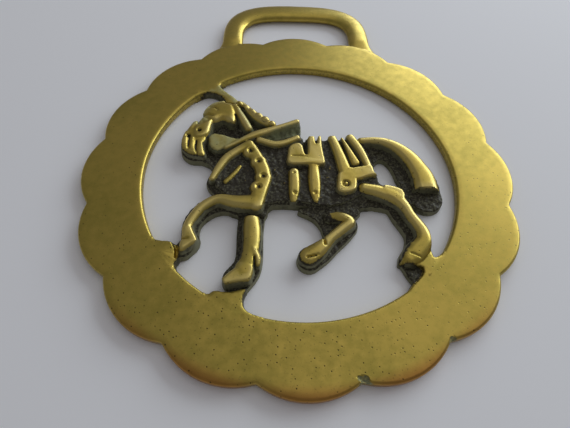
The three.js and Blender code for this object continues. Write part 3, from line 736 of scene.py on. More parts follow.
GRAIN_SIZE, GRAIN_SEED = 0.2, 7
GRAIN_END, GRAIN_FADE = 2.75, 0.5  # the sand's grain ends at this height and fades over this much, mm
RELIEF = {}  # the carved heights, from which the casting's wear is worked out later


def stretch(a, b, c, d, steps):
    """Points of a Catmull-Rom curve from its second given point towards its third."""
    return [
        0.5 * (2 * b + (c - a) * t + (2 * a - 5 * b + 4 * c - d) * t**2 + (3 * (b - c) + d - a) * t**3)
        for t in np.arange(steps) / steps
    ]


def spline(points, steps):
    """Points along a Catmull-Rom curve through the given points, with all their values."""
    given = np.array(points, float)
    padded = np.vstack([2 * given[0] - given[1], given, 2 * given[-1] - given[-2]])
    made = []
    for i in range(1, len(padded) - 2):
        a, b, c, d = padded[i - 1 : i + 3]
        made += stretch(a, b, c, d, steps)
    return np.array(made + [given[-1]])


def smooth_loop(points, steps=4):
    """A closed Catmull-Rom curve through the given points."""
    given = [np.array(p, float) for p in points]
    count = len(given)
    made = []
    for i in range(count):
        a, b, c, d = (given[(i + k - 1) % count] for k in range(4))
        made += stretch(a, b, c, d, steps)
    return np.array(made)


def smooth_max(a, b, soft):
    """The larger of two values, rounded where they cross."""
    mix = np.clip(0.5 + 0.5 * (a - b) / soft, 0, 1)
    return b + (a - b) * mix + soft * mix * (1 - mix)


def smooth_min(a, b, soft):
    return -smooth_max(-a, -b, soft)


def nearest(px, py, dx, dy):
    """How far along a segment the nearest spot to each place is, from 0 to 1, and its distance."""
    t = np.clip((px * dx + py * dy) / max(dx * dx + dy * dy, 1e-9), 0, 1)
    return t, np.hypot(px - t * dx, py - t * dy)


class Field:
    """A square grid over the relief, with what is needed to carve on it."""

    def __init__(self, low, high, step):
        self.step = step
        self.x = np.arange(low[0], high[0] + step, step)
        self.y = np.arange(low[1], high[1] + step, step)
        self.X, self.Y = np.meshgrid(self.x, self.y, indexing="ij")

    def run(self, stations, reach):
        """Distance from a run's crest over its half width, its height there, and the distance to its side."""
        share = np.full(self.X.shape, 9.0)
        height = np.zeros(self.X.shape)
        side = np.full(self.X.shape, 9.0)
        track = spline(stations, 5)
        for a, b in zip(track[:-1], track[1:]):
            margin = max(a[2], b[2]) + reach
            i0, i1 = np.searchsorted(self.x, [min(a[0], b[0]) - margin, max(a[0], b[0]) + margin])
            j0, j1 = np.searchsorted(self.y, [min(a[1], b[1]) - margin, max(a[1], b[1]) + margin])
            window = (slice(i0, i1), slice(j0, j1))
            px, py = self.X[window] - a[0], self.Y[window] - a[1]
            t, distance = nearest(px, py, b[0] - a[0], b[1] - a[1])
            width = a[2] + (b[2] - a[2]) * t
            nearer = distance / width < share[window]
            share[window] = np.where(nearer, distance / width, share[window])
            height[window] = np.where(nearer, a[-1] + (b[-1] - a[-1]) * t, height[window])
            side[window] = np.minimum(side[window], distance - width)
        return share, height, side

    def area(self, points, reach=4.0):
        """Distance to a smooth closed outline, negative inside it, worked out within this reach of it."""
        outline = smooth_loop(points, 3)
        result = np.full(self.X.shape, 9.0)
        i0, j0 = (np.searchsorted(line, low - reach) for line, low in zip((self.x, self.y), outline.min(0)))
        i1, j1 = (np.searchsorted(line, high + reach) for line, high in zip((self.x, self.y), outline.max(0)))
        X, Y = self.X[i0:i1, j0:j1], self.Y[i0:i1, j0:j1]
        distance = np.full(X.shape, 9.0)
        inside = np.zeros(X.shape, bool)
        for a, b in zip(outline, np.roll(outline, -1, axis=0)):
            px, py = X - a[0], Y - a[1]
            dx, dy = b[0] - a[0], b[1] - a[1]
            distance = np.minimum(distance, nearest(px, py, dx, dy)[1])
            if a[1] != b[1]:
                crosses = (a[1] > Y) != (b[1] > Y)
                inside ^= crosses & (px < (Y - a[1]) * dx / dy)
        result[i0:i1, j0:j1] = np.where(inside, -distance, distance)
        return result

    def grain(self, size, seed):
        """Smooth random values from -1 to 1 with bumps of about this size."""
        source = np.random.default_rng(seed).standard_normal(self.X.shape)
        return soften(source, size / self.step)


def soften(values, radius):
    """A Gaussian blur with this radius in cells."""
    reach = int(3 * radius) + 1
    kernel = np.exp(-0.5 * (np.arange(-reach, reach + 1) / max(radius, 1e-6)) ** 2)
    kernel /= kernel.sum()
    blurred = np.pad(values, reach, mode="edge")
    blurred = np.apply_along_axis(np.convolve, 0, blurred, kernel, "valid")
    return np.apply_along_axis(np.convolve, 1, blurred, kernel, "valid")


def dome(share, power):
    """Height of a rounded top, 1 on the crest and 0 at the sides."""
    return np.clip(1 - np.clip(share, 0, 1) ** power, 0, 1) ** (1 / power)


def rise(share, height, power):
    """A rounded form that stands on the low ground, and nothing outside it."""
    return np.where(share < 1, LOW_GROUND + (height - LOW_GROUND) * dome(share, power), 0)


def dent(share, depth):
    """Depth of a rounded hollow, and nothing outside it."""
    return np.where(share < 1, depth * (1 - np.minimum(share, 1) ** 2) ** 1.5, 0)


def carve(field):
    """The relief's top height, its outline distance, and how much of each spot is polished ground."""
    size = settings().horse
    plate = settings().plate.thickness
    radius = np.hypot(field.X, field.Y)

    # The webs run into the ring, and a fillet joins their outline to the ring's inner edge.
    ring = settings().plate.hole - radius + RING_COVER
    alone = np.full(field.X.shape, 9.0)
    for points in (FORE_HOOF_WEB, STANDING_HOOF_WEB, HIND_HOOF_WEB, POLL_TAB):
        alone = np.minimum(alone, field.area(points))
    web = np.maximum(smooth_min(ring, alone, WEB_FILLET), alone - WEB_FILLET - 0.2)
    polish = np.clip(0.5 - web / 0.5, 0, 1)

    # The relief: raised areas and runs, blended where they meet.
    outline = smooth_min(smooth_min(web, field.area(GROUND), 0.3), field.area(GROIN), 0.3)
    relief = np.zeros(field.X.shape)
    for points, height, edge in RAISED:
        share = np.clip(1 + field.area(points) / edge, 0, 1)
        relief = smooth_max(relief, rise(share, height, AREA_POWER), AREA_BLEND)
    for group, power, soft in ((HEAD, 2.2, 0.25), (LIMBS, 2.3, 0.25), (STRAPS, 3.0, 0.15)):
        for stations in group:
            share, height, _ = field.run(stations, 1.5)
            relief = smooth_max(relief, rise(share, height, power), soft)
    for x, y in STUDS:
        share = np.hypot(field.X - x, field.Y - y) / STUD_BOSS
        relief = smooth_max(relief, rise(share, STUD_HEIGHT, 3.2), 0.1)
    relief = np.where(field.area(TAIL_END) < 0, 0, relief)
    for stations in (*BASES, TAIL):
        _, _, side = field.run(stations, 1.5)
        extra = size.ledge if stations is TAIL else 0
        outline = smooth_min(outline, side - extra, 0.35)
    hide = field.area(HIDE)
    ledge = LOW_GROUND + (plate - LOW_GROUND) * np.clip(-hide + 1, 0, 1)
    top = np.maximum(ledge, plate * polish + ledge * (1 - polish))
    top = np.maximum(top, np.where(hide < 0, size.hide, 0))
    top = smooth_max(top, relief, 0.1)

    for points, height in LOW_WEBS:
        low = field.area(points)
        if points is TAIL_WEB:
            low = np.maximum(low, -field.area(TAIL_HOLE))
        top = np.where((outline > -0.15) & (low < 0.4), height, top)
        outline = smooth_min(outline, low, 0.1)
    for groove in GROOVES:
        share, depth, _ = field.run(groove, 0.3)
        top = top - dent(share, depth)
    for x, y, reach, depth in DIMPLES + [(x, y, STUD_RADIUS, STUD_DEPTH) for x, y in STUDS]:
        away = np.hypot(field.X - x, field.Y - y) / reach
        top = top - dent(away, depth)
    away = np.hypot(field.X - HIP_RING[0], field.Y - HIP_RING[1]) - HIP_RING_RADIUS
    top = top - dent(np.abs(away) / HIP_RING_LINE, HIP_RING_DEPTH)
    top = np.maximum(top, np.where(hide < 0, 0.9, LEAST_GROUND))

    # Ground that is flush with the ring has the ring's own rounded edge.
    soft = settings().plate.softness
    over = np.clip(web + soft, 0, soft)
    edge = plate - soft + np.sqrt(soft**2 - over**2)
    top = np.where(polish > 0.99, np.minimum(top, np.maximum(edge, relief)), top)
    # Where the pale green reflection is painted, with a soft edge.
    film_and_reflection = np.zeros(field.X.shape)
    for points in PAINTED_PALE_REFLECTIONS:
        film_and_reflection = np.maximum(film_and_reflection, np.clip(0.5 - field.area(points) / 0.9, 0, 1))
    RELIEF["film_and_reflection"] = film_and_reflection
    return top, outline, polish


def part_sheets(solid):
    """Fills the spots where two sheets of the surface would share an edge or a corner."""
    solid = solid.copy()
    tiny = -1e-3
    for _ in range(12):
        inside = solid < 0
        fill = np.zeros(solid.shape, bool)
        for axis in range(3):
            others = [k for k in range(3) if k != axis]

            def shifted(values, i, j):
                cut = [slice(None)] * 3
                cut[others[0]] = slice(i, values.shape[others[0]] - 1 + i)
                cut[others[1]] = slice(j, values.shape[others[1]] - 1 + j)
                return values[tuple(cut)]

            a, b, c, d = (shifted(inside, i, j) for i, j in ((0, 0), (1, 0), (0, 1), (1, 1)))
            one = a & d & ~b & ~c
            two = b & c & ~a & ~d
            for mask, spots in ((one, ((1, 0), (0, 1))), (two, ((0, 0), (1, 1)))):
                for i, j in spots:
                    view = shifted(fill, i, j)
                    view |= mask
        if not fill.any():
            break
        solid[fill & ~inside] = tiny
    return solid


def surface_net(solid, origin, step):
    """Vertices and quads of the surface where the field changes sign, one vertex in each cell it crosses."""
    solid = part_sheets(solid)
    inside = solid < 0
    cells = tuple(n - 1 for n in solid.shape)
    total = np.zeros(cells + (3,))
    count = np.zeros(cells, int)
    crossings = []
    for axis in range(3):
        first = [slice(None)] * 3
        second = [slice(None)] * 3
        first[axis], second[axis] = slice(None, -1), slice(1, None)
        a, b = solid[tuple(first)], solid[tuple(second)]
        crossed = (a < 0) != (b < 0)
        where = np.argwhere(crossed)
        t = a[crossed] / (a[crossed] - b[crossed])
        spot = where.astype(float)
        spot[:, axis] += t
        others = [k for k in range(3) if k != axis]
        for back_1 in (0, 1):
            for back_2 in (0, 1):
                cell = where.copy()
                cell[:, others[0]] -= back_1
                cell[:, others[1]] -= back_2
                ok = np.all((cell >= 0) & (cell < np.array(cells)), axis=1)
                index = tuple(cell[ok].T)
                np.add.at(total, index, spot[ok])
                np.add.at(count, index, 1)
        crossings.append((axis, others, where, inside[tuple(first)][crossed]))
    used = count > 0
    number = np.full(cells, -1)
    number[used] = np.arange(used.sum())
    vertices = total[used] / count[used][:, None] * step + np.array(origin)
    faces = []
    for axis, others, where, starts_inside in crossings:
        corner = [where.copy() for _ in range(4)]
        for k, (back_1, back_2) in enumerate(((1, 1), (0, 1), (0, 0), (1, 0))):
            corner[k][:, others[0]] -= back_1
            corner[k][:, others[1]] -= back_2
        quad = np.stack([number[tuple(c.T)] for c in corner], axis=1)
        turned = starts_inside ^ (axis == 1)
        faces.append(np.where(turned[:, None], quad, quad[:, ::-1]))
    return vertices, np.vstack(faces)


class HORSEBRASS_OT_horse(bpy.types.Operator):
    """Carve the horse and the webs that join it to the ring"""

    bl_idname = "horse_brass.horse"
    bl_label = "Carve horse"

    def execute(self, context):
        size = settings().horse
        plate = settings().plate.thickness
        step = size.grid * 1.0
        field = Field(FIELD_LOW, FIELD_HIGH, step)
        top, outline, polish = carve(field)
        radius = np.hypot(field.X, field.Y)
        outline = np.maximum(outline, radius - settings().plate.hole - RING_OVERLAP)
        grain = field.grain(GRAIN_SIZE, GRAIN_SEED)
        grain /= grain.std()
        rough = np.clip((GRAIN_END - top) / GRAIN_FADE, 0, 1) * (1 - polish)
        top = top + size.grain * 0.5 * grain * rough
        limit = TALLEST - INSIDE
        squeezed = SQUEEZE + (limit - SQUEEZE) * np.tanh((top - SQUEEZE) / (limit - SQUEEZE))
        top = np.where(top > SQUEEZE, squeezed, top)
        layers = np.arange(-1.5, TALLEST / step + 2) * step
        Z = layers[None, None, :]
        leaning = outline[..., None] - DRAFT * (1.0 - Z / plate)
        solid = np.maximum(np.maximum(Z - top[..., None], leaning), -Z)
        vertices, faces = surface_net(solid, (field.x[0], field.y[0], layers[0]), step)
        vertices[np.abs(vertices[:, 2]) < SNAP, 2] = 0
        flush = (np.hypot(vertices[:, 0], vertices[:, 1]) > settings().plate.hole) | (vertices[:, 2] < plate)
        vertices[flush & (np.abs(vertices[:, 2] - plate) < SNAP), 2] = plate
        horse = make_object("horse", vertices, faces)
        horse.data.materials.append(brass())
        keep_largest(horse)
        face_outwards(horse)
        thin_out(horse, HORSE_TRIANGLES)
        RELIEF.update(field=field, top=top, polish=polish)
        return {"FINISHED"}


def thin_out(piece, most):
    """Collapses faces where the surface is flat, down to this many triangles."""
    count = sum(len(p.vertices) - 2 for p in piece.data.polygons)
    if count <= most:
        return
    thin = piece.modifiers.new("thin", "DECIMATE")
    thin.ratio = most / count
    thin.use_collapse_triangulate = True
    graph = bpy.context.evaluated_depsgraph_get()
    piece.data = bpy.data.meshes.new_from_object(piece.evaluated_get(graph))
    piece.modifiers.clear()


def keep_largest(piece):
    """Removes crumbs, so that one closed body is left."""
    shape = bmesh.new()
    shape.from_mesh(piece.data)
    left = set(shape.verts)
    bodies = []
    while left:
        body, queue = set(), [left.pop()]
        while queue:
            vertex = queue.pop()
            body.add(vertex)
            for edge in vertex.link_edges:
                other = edge.other_vert(vertex)
                if other in left:
                    left.remove(other)
                    queue.append(other)
        bodies.append(body)
    bodies.sort(key=len)
    bmesh.ops.delete(shape, geom=[v for body in bodies[:-1] for v in body], context="VERTS")
    shape.to_mesh(piece.data)
    shape.free()


def lock_tree(sizes):
    """Locks of hair set along a bent line, each a stretched ball lying across it."""
    tree, given = new_tree("mane_locks", sizes)
    size = given.outputs
    line = add(
        tree,
        "GeometryNodeCurveQuadraticBezier",
        {"Resolution": 32, "Start": size["Start"], "Middle": size["Middle"], "End": size["End"]},
    )
    points = add(tree, "GeometryNodeCurveToPoints", {"Curve": line, "Count": size["Locks"]})
    ball = add(tree, "GeometryNodeMeshIcoSphere", {"Radius": 1.0, "Subdivisions": 4})
    spread = add(
        tree,
        "FunctionNodeRandomValue",
        {0: (0.85, 0.9, 0.9), 1: (1.1, 1.12, 1.05), "Seed": 5},
        data_type="FLOAT_VECTOR",
    )
    scale = add(tree, "ShaderNodeVectorMath", {0: spread, 1: size["Lock size"]}, operation="MULTIPLY")
    placed = add(
        tree,
        "GeometryNodeInstanceOnPoints",
        {
            "Points": points.outputs["Points"],
            "Instance": ball,
            "Rotation": points.outputs["Rotation"],
            "Scale": scale,
        },
    )
    real = add(tree, "GeometryNodeRealizeInstances", {"Geometry": placed})
    merged = add(
        tree,
        "GeometryNodeMeshBoolean",
        {"Mesh 2": real, "Self Intersection": True},
        operation="UNION",
        solver="EXACT",
    )
    finish_tree(tree, given, merged)
    return tree


class HORSEBRASS_OT_mane(bpy.types.Operator):
    """Make the locks of the mane"""

    bl_idname = "horse_brass.mane"
    bl_label = "Make mane"

    def execute(self, context):
        start, middle, end = (Vector(p) + Vector((0, 0, 2.85)) for p in MANE_LINE)
        sizes = {
            "Start": start,
            "Middle": 2 * middle - (start + end) / 2,
            "End": end,
            "Locks": settings().horse.locks,
            "Lock size": Vector((0.75, 0.75, 0.95)),
            "Material": brass(),
        }
        grow("mane", lock_tree(sizes), sizes)
        return {"FINISHED"}


# ---- The casting: everything joined into one piece, with its wear ----


def sample(field, values, x, y):
    """Values of a grid at places on it, with straight lines between its points."""
    i = np.clip((x - field.x[0]) / field.step, 0, len(field.x) - 1.001)
    j = np.clip((y - field.y[0]) / field.step, 0, len(field.y) - 1.001)
    i0, j0 = i.astype(int), j.astype(int)
    u, v = i - i0, j - j0
    low = values[i0, j0] * (1 - u) + values[i0 + 1, j0] * u
    high = values[i0, j0 + 1] * (1 - u) + values[i0 + 1, j0 + 1] * u
    return low * (1 - v) + high * v


def store(mesh, name, values):
    layer = mesh.attributes.new(name, "FLOAT", "POINT")
    layer.data.foreach_set("value", np.ascontiguousarray(values, dtype=np.float32))


def ramp(values, low, high):
    """0 below low and 1 above high, with a smooth rise between."""
    t = np.clip((values - low) / (high - low), 0, 1)
    return t * t * (3 - 2 * t)


# Chips in the rim: place, half length, half breadth and turn.
CHIPS = [(7.8, -37.9, 1.2, 0.75, -0.3), (21.9, -32.3, 0.8, 0.6, 0.8)]
CHIP_DEPTH = 0.45  # mm
WAVE_SCALE = 0.09  # waves to a millimetre along the ring's face


class HORSEBRASS_OT_casting(bpy.types.Operator):
    """Join the ring, hanger, horse and mane into the one casting"""

    bl_idname = "horse_brass.casting"
    bl_label = "Join casting"

    def execute(self, context):
        piece = bpy.data.objects["ring"]
        piece.name = "brass"
        plate = settings().plate.thickness
        spots = np.empty(len(piece.data.vertices) * 3, np.float32)
        piece.data.vertices.foreach_get("co", spots)
        heights = spots[2::3]
        heights[np.abs(heights - plate) < 1e-4] = plate
        heights[np.abs(heights) < 1e-4] = 0
        piece.data.vertices.foreach_set("co", spots)
        for name in ("hanger", "horse", "mane"):
            join(piece, bpy.data.objects[name], "UNION")
        for x, y, length, breadth, turn in CHIPS:
            chip = chip_ball((x, y, plate + 0.15), (length, breadth, CHIP_DEPTH + 0.15), turn)
            join(piece, chip, "DIFFERENCE")
        weather(piece.data)
        file_waves(piece.data)
        piece.data.transform(Matrix.Diagonal((MM, MM, MM, 1)) @ Matrix.Translation((0, CENTRE_Y, 0)))
        piece.data.materials.clear()
        piece.data.materials.append(brass())
        piece.data.polygons.foreach_set("use_smooth", [True] * len(piece.data.polygons))
        piece.data.set_sharp_from_angle(angle=math.radians(60))
        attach(piece, "root")
        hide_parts(CAD_NODE)
        return {"FINISHED"}


def chip_ball(place, halves, turn):
    """The shape that a chip leaves: a flattened ball, made faceted because the metal broke away."""
    shape = bmesh.new()
    bmesh.ops.create_icosphere(shape, subdivisions=3, radius=1.0)
    for vertex in shape.verts:
        vertex.co *= 0.9 + 0.2 * noise.noise(vertex.co * 1.7)
    shape.transform(Matrix.Translation(place) @ Matrix.Rotation(turn, 4, "Z") @ Matrix.Diagonal((*halves, 1)))
    mesh = bpy.data.meshes.new("chip")
    shape.to_mesh(mesh)
    shape.free()
    made = bpy.data.objects.new("chip", mesh)
    bpy.context.scene.collection.objects.link(made)
    return made


def file_waves(mesh):
    """Filing and years of polishing leave the face in long shallow waves. The back stays flat."""
    spots = np.empty(len(mesh.vertices) * 3, np.float32)
    mesh.vertices.foreach_get("co", spots)
    places = spots.reshape(-1, 3)
    swell = np.array([noise.noise((x * WAVE_SCALE, y * WAVE_SCALE, 0)) for x, y, _ in places])
    share = np.clip(places[:, 2] / settings().plate.thickness, 0, 1)
    places[:, 2] -= settings().plate.waves * share * np.clip(0.5 + swell, 0, 1)
    mesh.vertices.foreach_set("co", spots)
    mesh.update()


# The limits of the wear, the patina and the painted shade, in millimetres. Between the two values of a pair
# it goes from none to full.
SURROUNDINGS = 0.7  # how far round a spot its surroundings reach
# Patina and painted shade grow with a spot's depth below its surroundings.
HOLLOW_PATINA_AND_SHADE = (0.0, 0.4)  # depth below the surroundings
# Patina and painted shade run down the walls, with the depth below the top of the relief.
WALL_PATINA_AND_SHADE = (0.25, 0.9)  # depth below the top of the relief
# Patina and painted shade cover the low ground, and end between these heights.
GROUND_PATINA_AND_SHADE = (2.2, 2.75)  # height over the back
CREST_RISE, CREST_HEIGHT = (0.05, 0.45), (2.5, 3.2)
SALTS_END = (2.2, 2.9)  # height over the back
BLUSH_RADIUS, BLUSH_BELOW, BLUSH = (38.2, 40.4), (24, 34), 0.55
CHIP_STAIN = 0.35


def weather(mesh):
    """Marks the recesses for patina and painted shade, the polished crests and the carved part, from the lie
    of the relief.
    """
    spots = np.empty(len(mesh.vertices) * 3, np.float32)
    mesh.vertices.foreach_get("co", spots)
    x, y, z = spots.reshape(-1, 3).astype(float).T
    plate = settings().plate
    field, top, polish = RELIEF["field"], RELIEF["top"], RELIEF["polish"]
    radius = np.hypot(x, y)
    carved = 1 - ramp(radius, plate.hole - 0.6, plate.hole + 0.2)
    carved *= 1 - sample(field, polish, x, y)
    near = soften(top, SURROUNDINGS / field.step)
    hollow = sample(field, near - top, x, y)
    below = sample(field, top, x, y) - z
    # Patina and painted shade over the low ground, fading out with height.
    ground_patina_and_shade = 1 - ramp(z, *GROUND_PATINA_AND_SHADE)
    broken = np.zeros(len(x))
    for chip_x, chip_y, length, _, _ in CHIPS:
        within = np.hypot(x - chip_x, y - chip_y) < length
        broken[within & (z < plate.thickness - 0.1) & (z > 1.0)] = 1
    # Patina and painted shade: in the hollows, down the walls and over the low ground, with a stain in the
    # chips.
    recess_patina_and_shade = carved * np.clip(ramp(hollow, *HOLLOW_PATINA_AND_SHADE) + ramp(below, *WALL_PATINA_AND_SHADE) + ground_patina_and_shade, 0, 1)
    store(mesh, "recess_patina_and_shade", CHIP_STAIN * broken + recess_patina_and_shade)
    store(mesh, "crest", carved * ramp(-hollow, *CREST_RISE) * ramp(z, *CREST_HEIGHT))
    store(mesh, "low", carved * (1 - ramp(z, *SALTS_END)))
    store(mesh, "carved", carved)
    inside = 1 - ramp(radius, plate.hole - 0.8, plate.hole)
    # The broken chips get a pale film, and parts of the head a painted pale reflection.
    store(mesh, "film_and_reflection", broken + inside * sample(field, RELIEF["film_and_reflection"], x, y))
    store(mesh, "blush", BLUSH * ramp(radius, *BLUSH_RADIUS) * ramp(-y, *BLUSH_BELOW))


# ---- Finish ----


# Widths of the patterns, mm. The speckle of the salts is drawn coarser than it is, so that it shows.
PATCH, MOTTLE, SPECKLE, PINHOLE_SPACING = 14, 1.6, 0.36, 0.7


def brass():
    """Cast brass, sand cast and hand polished, then left to dull: a satin metal with a smeared shine, with
    patina and painted shade in its recesses and a painted pale reflection on parts of the head.
    """
    name = "aged cast brass"
    if name in bpy.data.materials:
        return bpy.data.materials[name]
    finish = settings().finish
    material = bpy.data.materials.new(name)
    material.use_nodes = True
    tree = material.node_tree
    tree.nodes.clear()
    place = add(tree, "ShaderNodeTexCoord").outputs["Object"]
    place = add(tree, "ShaderNodeVectorMath", {0: place, "Scale": 1 / MM}, operation="SCALE")
    marks = {
        mark: add(tree, "ShaderNodeAttribute", attribute_name=mark).outputs["Fac"]
        for mark in ("recess_patina_and_shade", "crest", "low", "carved", "blush", "film_and_reflection")
    }
    normal = add(tree, "ShaderNodeNewGeometry").outputs["Normal"]
    upward = add(tree, "ShaderNodeSeparateXYZ", {0: normal}).outputs["Z"]
    wall = add(tree, "ShaderNodeMapRange", {"Value": upward, "From Min": 0.75, "From Max": 0.25})

    # Thin oxide lies in patches a centimetre or two across, with finer mottling inside them.
    patches = add(tree, "ShaderNodeTexNoise", {"Vector": place, "Scale": 1 / PATCH, "Detail": 3.0})
    mottle = add(
        tree, "ShaderNodeTexNoise", {"Vector": place, "Scale": 1 / MOTTLE, "Detail": 5.0, "Roughness": 0.6}
    )
    fine = add(tree, "ShaderNodeTexNoise", {"Vector": place, "Scale": 1 / SPECKLE, "Detail": 3.0})
    oxide = add(tree, "ShaderNodeMath", {0: patches, 1: mottle}, operation="ADD")
    oxide = add(tree, "ShaderNodeMapRange", {"Value": oxide, "From Min": 0.75, "From Max": 1.2})

    # Old polish and oxide stay dark in every recess, and shade is painted into the recesses, down the walls
    # and over the low ground, broken up by the grain.
    depth = add(tree, "ShaderNodeMath", {0: marks["recess_patina_and_shade"], 1: fine}, operation="ADD")
    patina_and_shade = add(tree, "ShaderNodeMapRange", {"Value": depth, "From Min": 0.62, "From Max": 1.0})
    salts = add(tree, "ShaderNodeMath", {0: marks["low"], 1: 0.34, 2: fine}, operation="MULTIPLY_ADD")
    salts = add(
        tree, "ShaderNodeMapRange", {"Value": salts, "From Min": 0.8, "From Max": 1.15, "To Max": 0.7}
    )
    skin = add(tree, "ShaderNodeMath", {0: wall, 1: marks["carved"]}, operation="MULTIPLY")
    skin = add(tree, "ShaderNodeMath", {0: skin, 1: mottle, 2: 0.1}, operation="MULTIPLY_ADD")
    skin = add(tree, "ShaderNodeMapRange", {"Value": skin, "From Min": 0.3, "From Max": 0.6, "To Max": 0.8})
    salts = add(tree, "ShaderNodeMath", {0: salts, 1: skin}, operation="MAXIMUM")

    # A pale green reflection is painted as a tint over the poll, the brow and the jaw, and a pale film over
    # the broken chips.
    film_and_reflection = add(tree, "ShaderNodeMath", {0: marks["film_and_reflection"], 1: mottle}, operation="MULTIPLY")
    film_and_reflection = add(
        tree, "ShaderNodeMapRange", {"Value": film_and_reflection, "From Min": 0.2, "From Max": 0.7, "To Max": 0.75}
    )

    # Pinholes of the sand mould, 0.1 to 0.25 mm across, most of them on the lower half.
    cells = add(tree, "ShaderNodeTexVoronoi", {"Vector": place, "Scale": 1 / PINHOLE_SPACING})
    across = add(tree, "ShaderNodeSeparateXYZ", {0: place}).outputs["Y"]
    holed = {"Value": across, "From Min": 10.0, "From Max": -35.0, "To Min": 0.02, "To Max": 0.55}
    share = add(tree, "ShaderNodeMapRange", holed)
    chosen = add(tree, "ShaderNodeSeparateColor", {0: cells.outputs["Color"]}).outputs[0]
    chosen = add(tree, "ShaderNodeMath", {0: chosen, 1: share}, operation="LESS_THAN")
    hole = add(
        tree, "ShaderNodeMapRange", {"Value": cells.outputs["Distance"], "From Min": 0.2, "From Max": 0.08}
    )
    hole = add(tree, "ShaderNodeMath", {0: hole, 1: chosen}, operation="MULTIPLY")

    # Each layer lies over the ones before it, so the worn crests and the blush are under the patina, the
    # painted shade, the salts and the painted pale reflection.
    layers = (
        (oxide, finish.gold),
        (marks["crest"], finish.bright),
        (marks["blush"], finish.copper),
        # Patina and painted shade.
        (patina_and_shade, finish.patina_and_shade_colour),
        (salts, finish.verdigris),
        # Painted pale reflection, and the film on the chips.
        (film_and_reflection, finish.film_and_reflection),
        (hole, finish.patina_and_shade_colour),
    )
    metal = linear(finish.olive)
    for share, colour in layers:
        feeds = {"Factor": share, 6: metal, 7: linear(colour)}
        metal = add(tree, "ShaderNodeMix", feeds, data_type="RGBA").outputs[2]

    dull = add(tree, "ShaderNodeMath", {0: patina_and_shade, 1: salts}, operation="MAXIMUM")
    dull = add(tree, "ShaderNodeMath", {0: dull, 1: film_and_reflection}, operation="MAXIMUM")
    metallic = add(tree, "ShaderNodeMapRange", {"Value": dull, "To Min": 1.0, "To Max": 0.35})
    satin = add(tree, "ShaderNodeMapRange", {"Value": oxide, "To Min": 0.4, "To Max": 0.3})
    rough = add(tree, "ShaderNodeMix", {"Factor": dull, 2: satin, 3: 0.72}, data_type="FLOAT")
    relief = add(tree, "ShaderNodeMath", {0: fine, 1: dull}, operation="MULTIPLY")
    relief = add(tree, "ShaderNodeMath", {0: relief, 1: hole}, operation="SUBTRACT")
    ripple = add(tree, "ShaderNodeMath", {0: mottle, 1: 0.25, 2: relief}, operation="MULTIPLY_ADD")
    bump = add(tree, "ShaderNodeBump", {"Height": ripple, "Strength": 0.5, "Distance": 0.05 * MM})
    shader = add(
        tree,
        "ShaderNodeBsdfPrincipled",
        {
            "Base Color": metal,
            "Metallic": metallic,
            "Roughness": rough,
            "Normal": bump,
            "Coat Weight": 0.15,
            "Coat Roughness": 0.3,
        },
    )
    add(tree, "ShaderNodeOutputMaterial", {"Surface": shader})
    return material


# ---- Stage ----

# The camera looks down on the brass from the foot of the ring, with a slight roll.
CAMERA_PLACE = Vector((-5.823, -57.423, 64.824))
CAMERA_RIGHT = Vector((0.99932155, -0.01567469, 0.0333279))
CAMERA_DOWN = Vector((0.00491907, -0.84000071, -0.54256301))
CAMERA_LENS, CAMERA_SENSOR = 26.797, 36.0


def floor_material():
    """Matt white paper: pale, faintly cool, without any shine."""
    material = bpy.data.materials.new("matt paper")
    material.use_nodes = True
    tree = material.node_tree
    tree.nodes.clear()
    shader = add(
        tree, "ShaderNodeBsdfPrincipled", {"Base Color": linear(settings().stage.floor), "Roughness": 0.9}
    )
    add(tree, "ShaderNodeOutputMaterial", {"Surface": shader})
    return material


def area_light(name, place, target, width, height, power, colour):
    lamp = bpy.data.lights.new(name, "AREA")
    lamp.shape = "RECTANGLE"
    lamp.size, lamp.size_y = width, height
    lamp.energy = power
    lamp.color = colour
    made = bpy.data.objects.new(name, lamp)
    bpy.context.scene.collection.objects.link(made)
    made.location = place
    made.rotation_euler = (Vector(target) - Vector(place)).to_track_quat("-Z", "Y").to_euler()


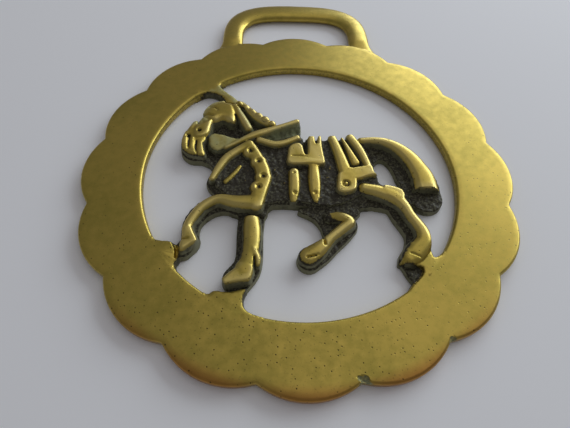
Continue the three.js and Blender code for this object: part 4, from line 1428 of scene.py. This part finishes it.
class HORSEBRASS_OT_stage(bpy.types.Operator):
    """Set the floor, the lights and the camera"""

    bl_idname = "horse_brass.stage"
    bl_label = "Set stage"

    def execute(self, context):
        stage = settings().stage
        far = 1.5
        corners = [(-far, -far, 0), (far, -far, 0), (far, far, 0), (-far, far, 0)]
        floor = make_object("floor", [(x, y, -0.00002) for x, y, _ in corners], [(0, 1, 2, 3)])
        floor.data.materials.append(floor_material())
        area_light("window", (0.39, 0.39, 0.23), (0, 0, 0), 0.69, 0.32, stage.window, (0.86, 0.94, 1.0))
        area_light("ceiling", (0.2, 0.22, 0.5), (0, 0, 0), 0.6, 0.6, stage.ceiling, (1.0, 0.98, 0.94))
        world = bpy.data.worlds.new("room")
        context.scene.world = world
        world.use_nodes = True
        background = world.node_tree.nodes["Background"]
        background.inputs["Color"].default_value = (0.97, 0.96, 1.0, 1)
        background.inputs["Strength"].default_value = stage.fill
        context.scene.view_settings.view_transform = "Standard"
        lens = bpy.data.cameras.new("camera")
        lens.lens, lens.sensor_width, lens.sensor_fit = CAMERA_LENS, CAMERA_SENSOR, "HORIZONTAL"
        lens.clip_start = 0.005
        camera = bpy.data.objects.new("camera", lens)
        context.scene.collection.objects.link(camera)
        back = CAMERA_RIGHT.cross(-CAMERA_DOWN)
        turn = Matrix((CAMERA_RIGHT, -CAMERA_DOWN, back)).transposed().to_4x4()
        camera.matrix_world = Matrix.Translation(CAMERA_PLACE * MM) @ turn
        context.scene.camera = camera
        return {"FINISHED"}


# ---- The add-on ----


class HORSEBRASS_PT_panel(bpy.types.Panel):
    """Sizes, colours and steps of the horse brass"""

    bl_idname = "HORSEBRASS_PT_panel"
    bl_label = "Horse brass"
    bl_space_type = "VIEW_3D"
    bl_region_type = "UI"
    bl_category = "Horse brass"

    def draw(self, context):
        made = settings()
        for name in ("plate", "hanger", "horse", "finish", "stage"):
            box = self.layout.box()
            box.label(text=name.capitalize())
            group = getattr(made, name)
            for item in group.bl_rna.properties:
                if item.identifier not in {"name", "rna_type"}:
                    box.prop(group, item.identifier)
        for step in STEPS:
            self.layout.operator(step.bl_idname)


STEPS = (
    HORSEBRASS_OT_plate,
    HORSEBRASS_OT_hanger,
    HORSEBRASS_OT_horse,
    HORSEBRASS_OT_mane,
    HORSEBRASS_OT_casting,
    HORSEBRASS_OT_stage,
)
CLASSES = (
    PlateSettings,
    HangerSettings,
    HorseSettings,
    FinishSettings,
    StageSettings,
    HorseBrassSettings,
    *STEPS,
    HORSEBRASS_PT_panel,
)


def register():
    for kind in CLASSES:
        bpy.utils.register_class(kind)
    bpy.types.Scene.horse_brass = PointerProperty(type=HorseBrassSettings)


def unregister():
    del bpy.types.Scene.horse_brass
    for kind in reversed(CLASSES):
        bpy.utils.unregister_class(kind)


def main():
    register()
    bpy.ops.horse_brass.plate()
    bpy.ops.horse_brass.hanger()
    bpy.ops.horse_brass.horse()
    bpy.ops.horse_brass.mane()
    bpy.ops.horse_brass.casting()
    bpy.ops.horse_brass.stage()
    bpy.context.view_layer.update()


if __name__ == "__main__":
    main()
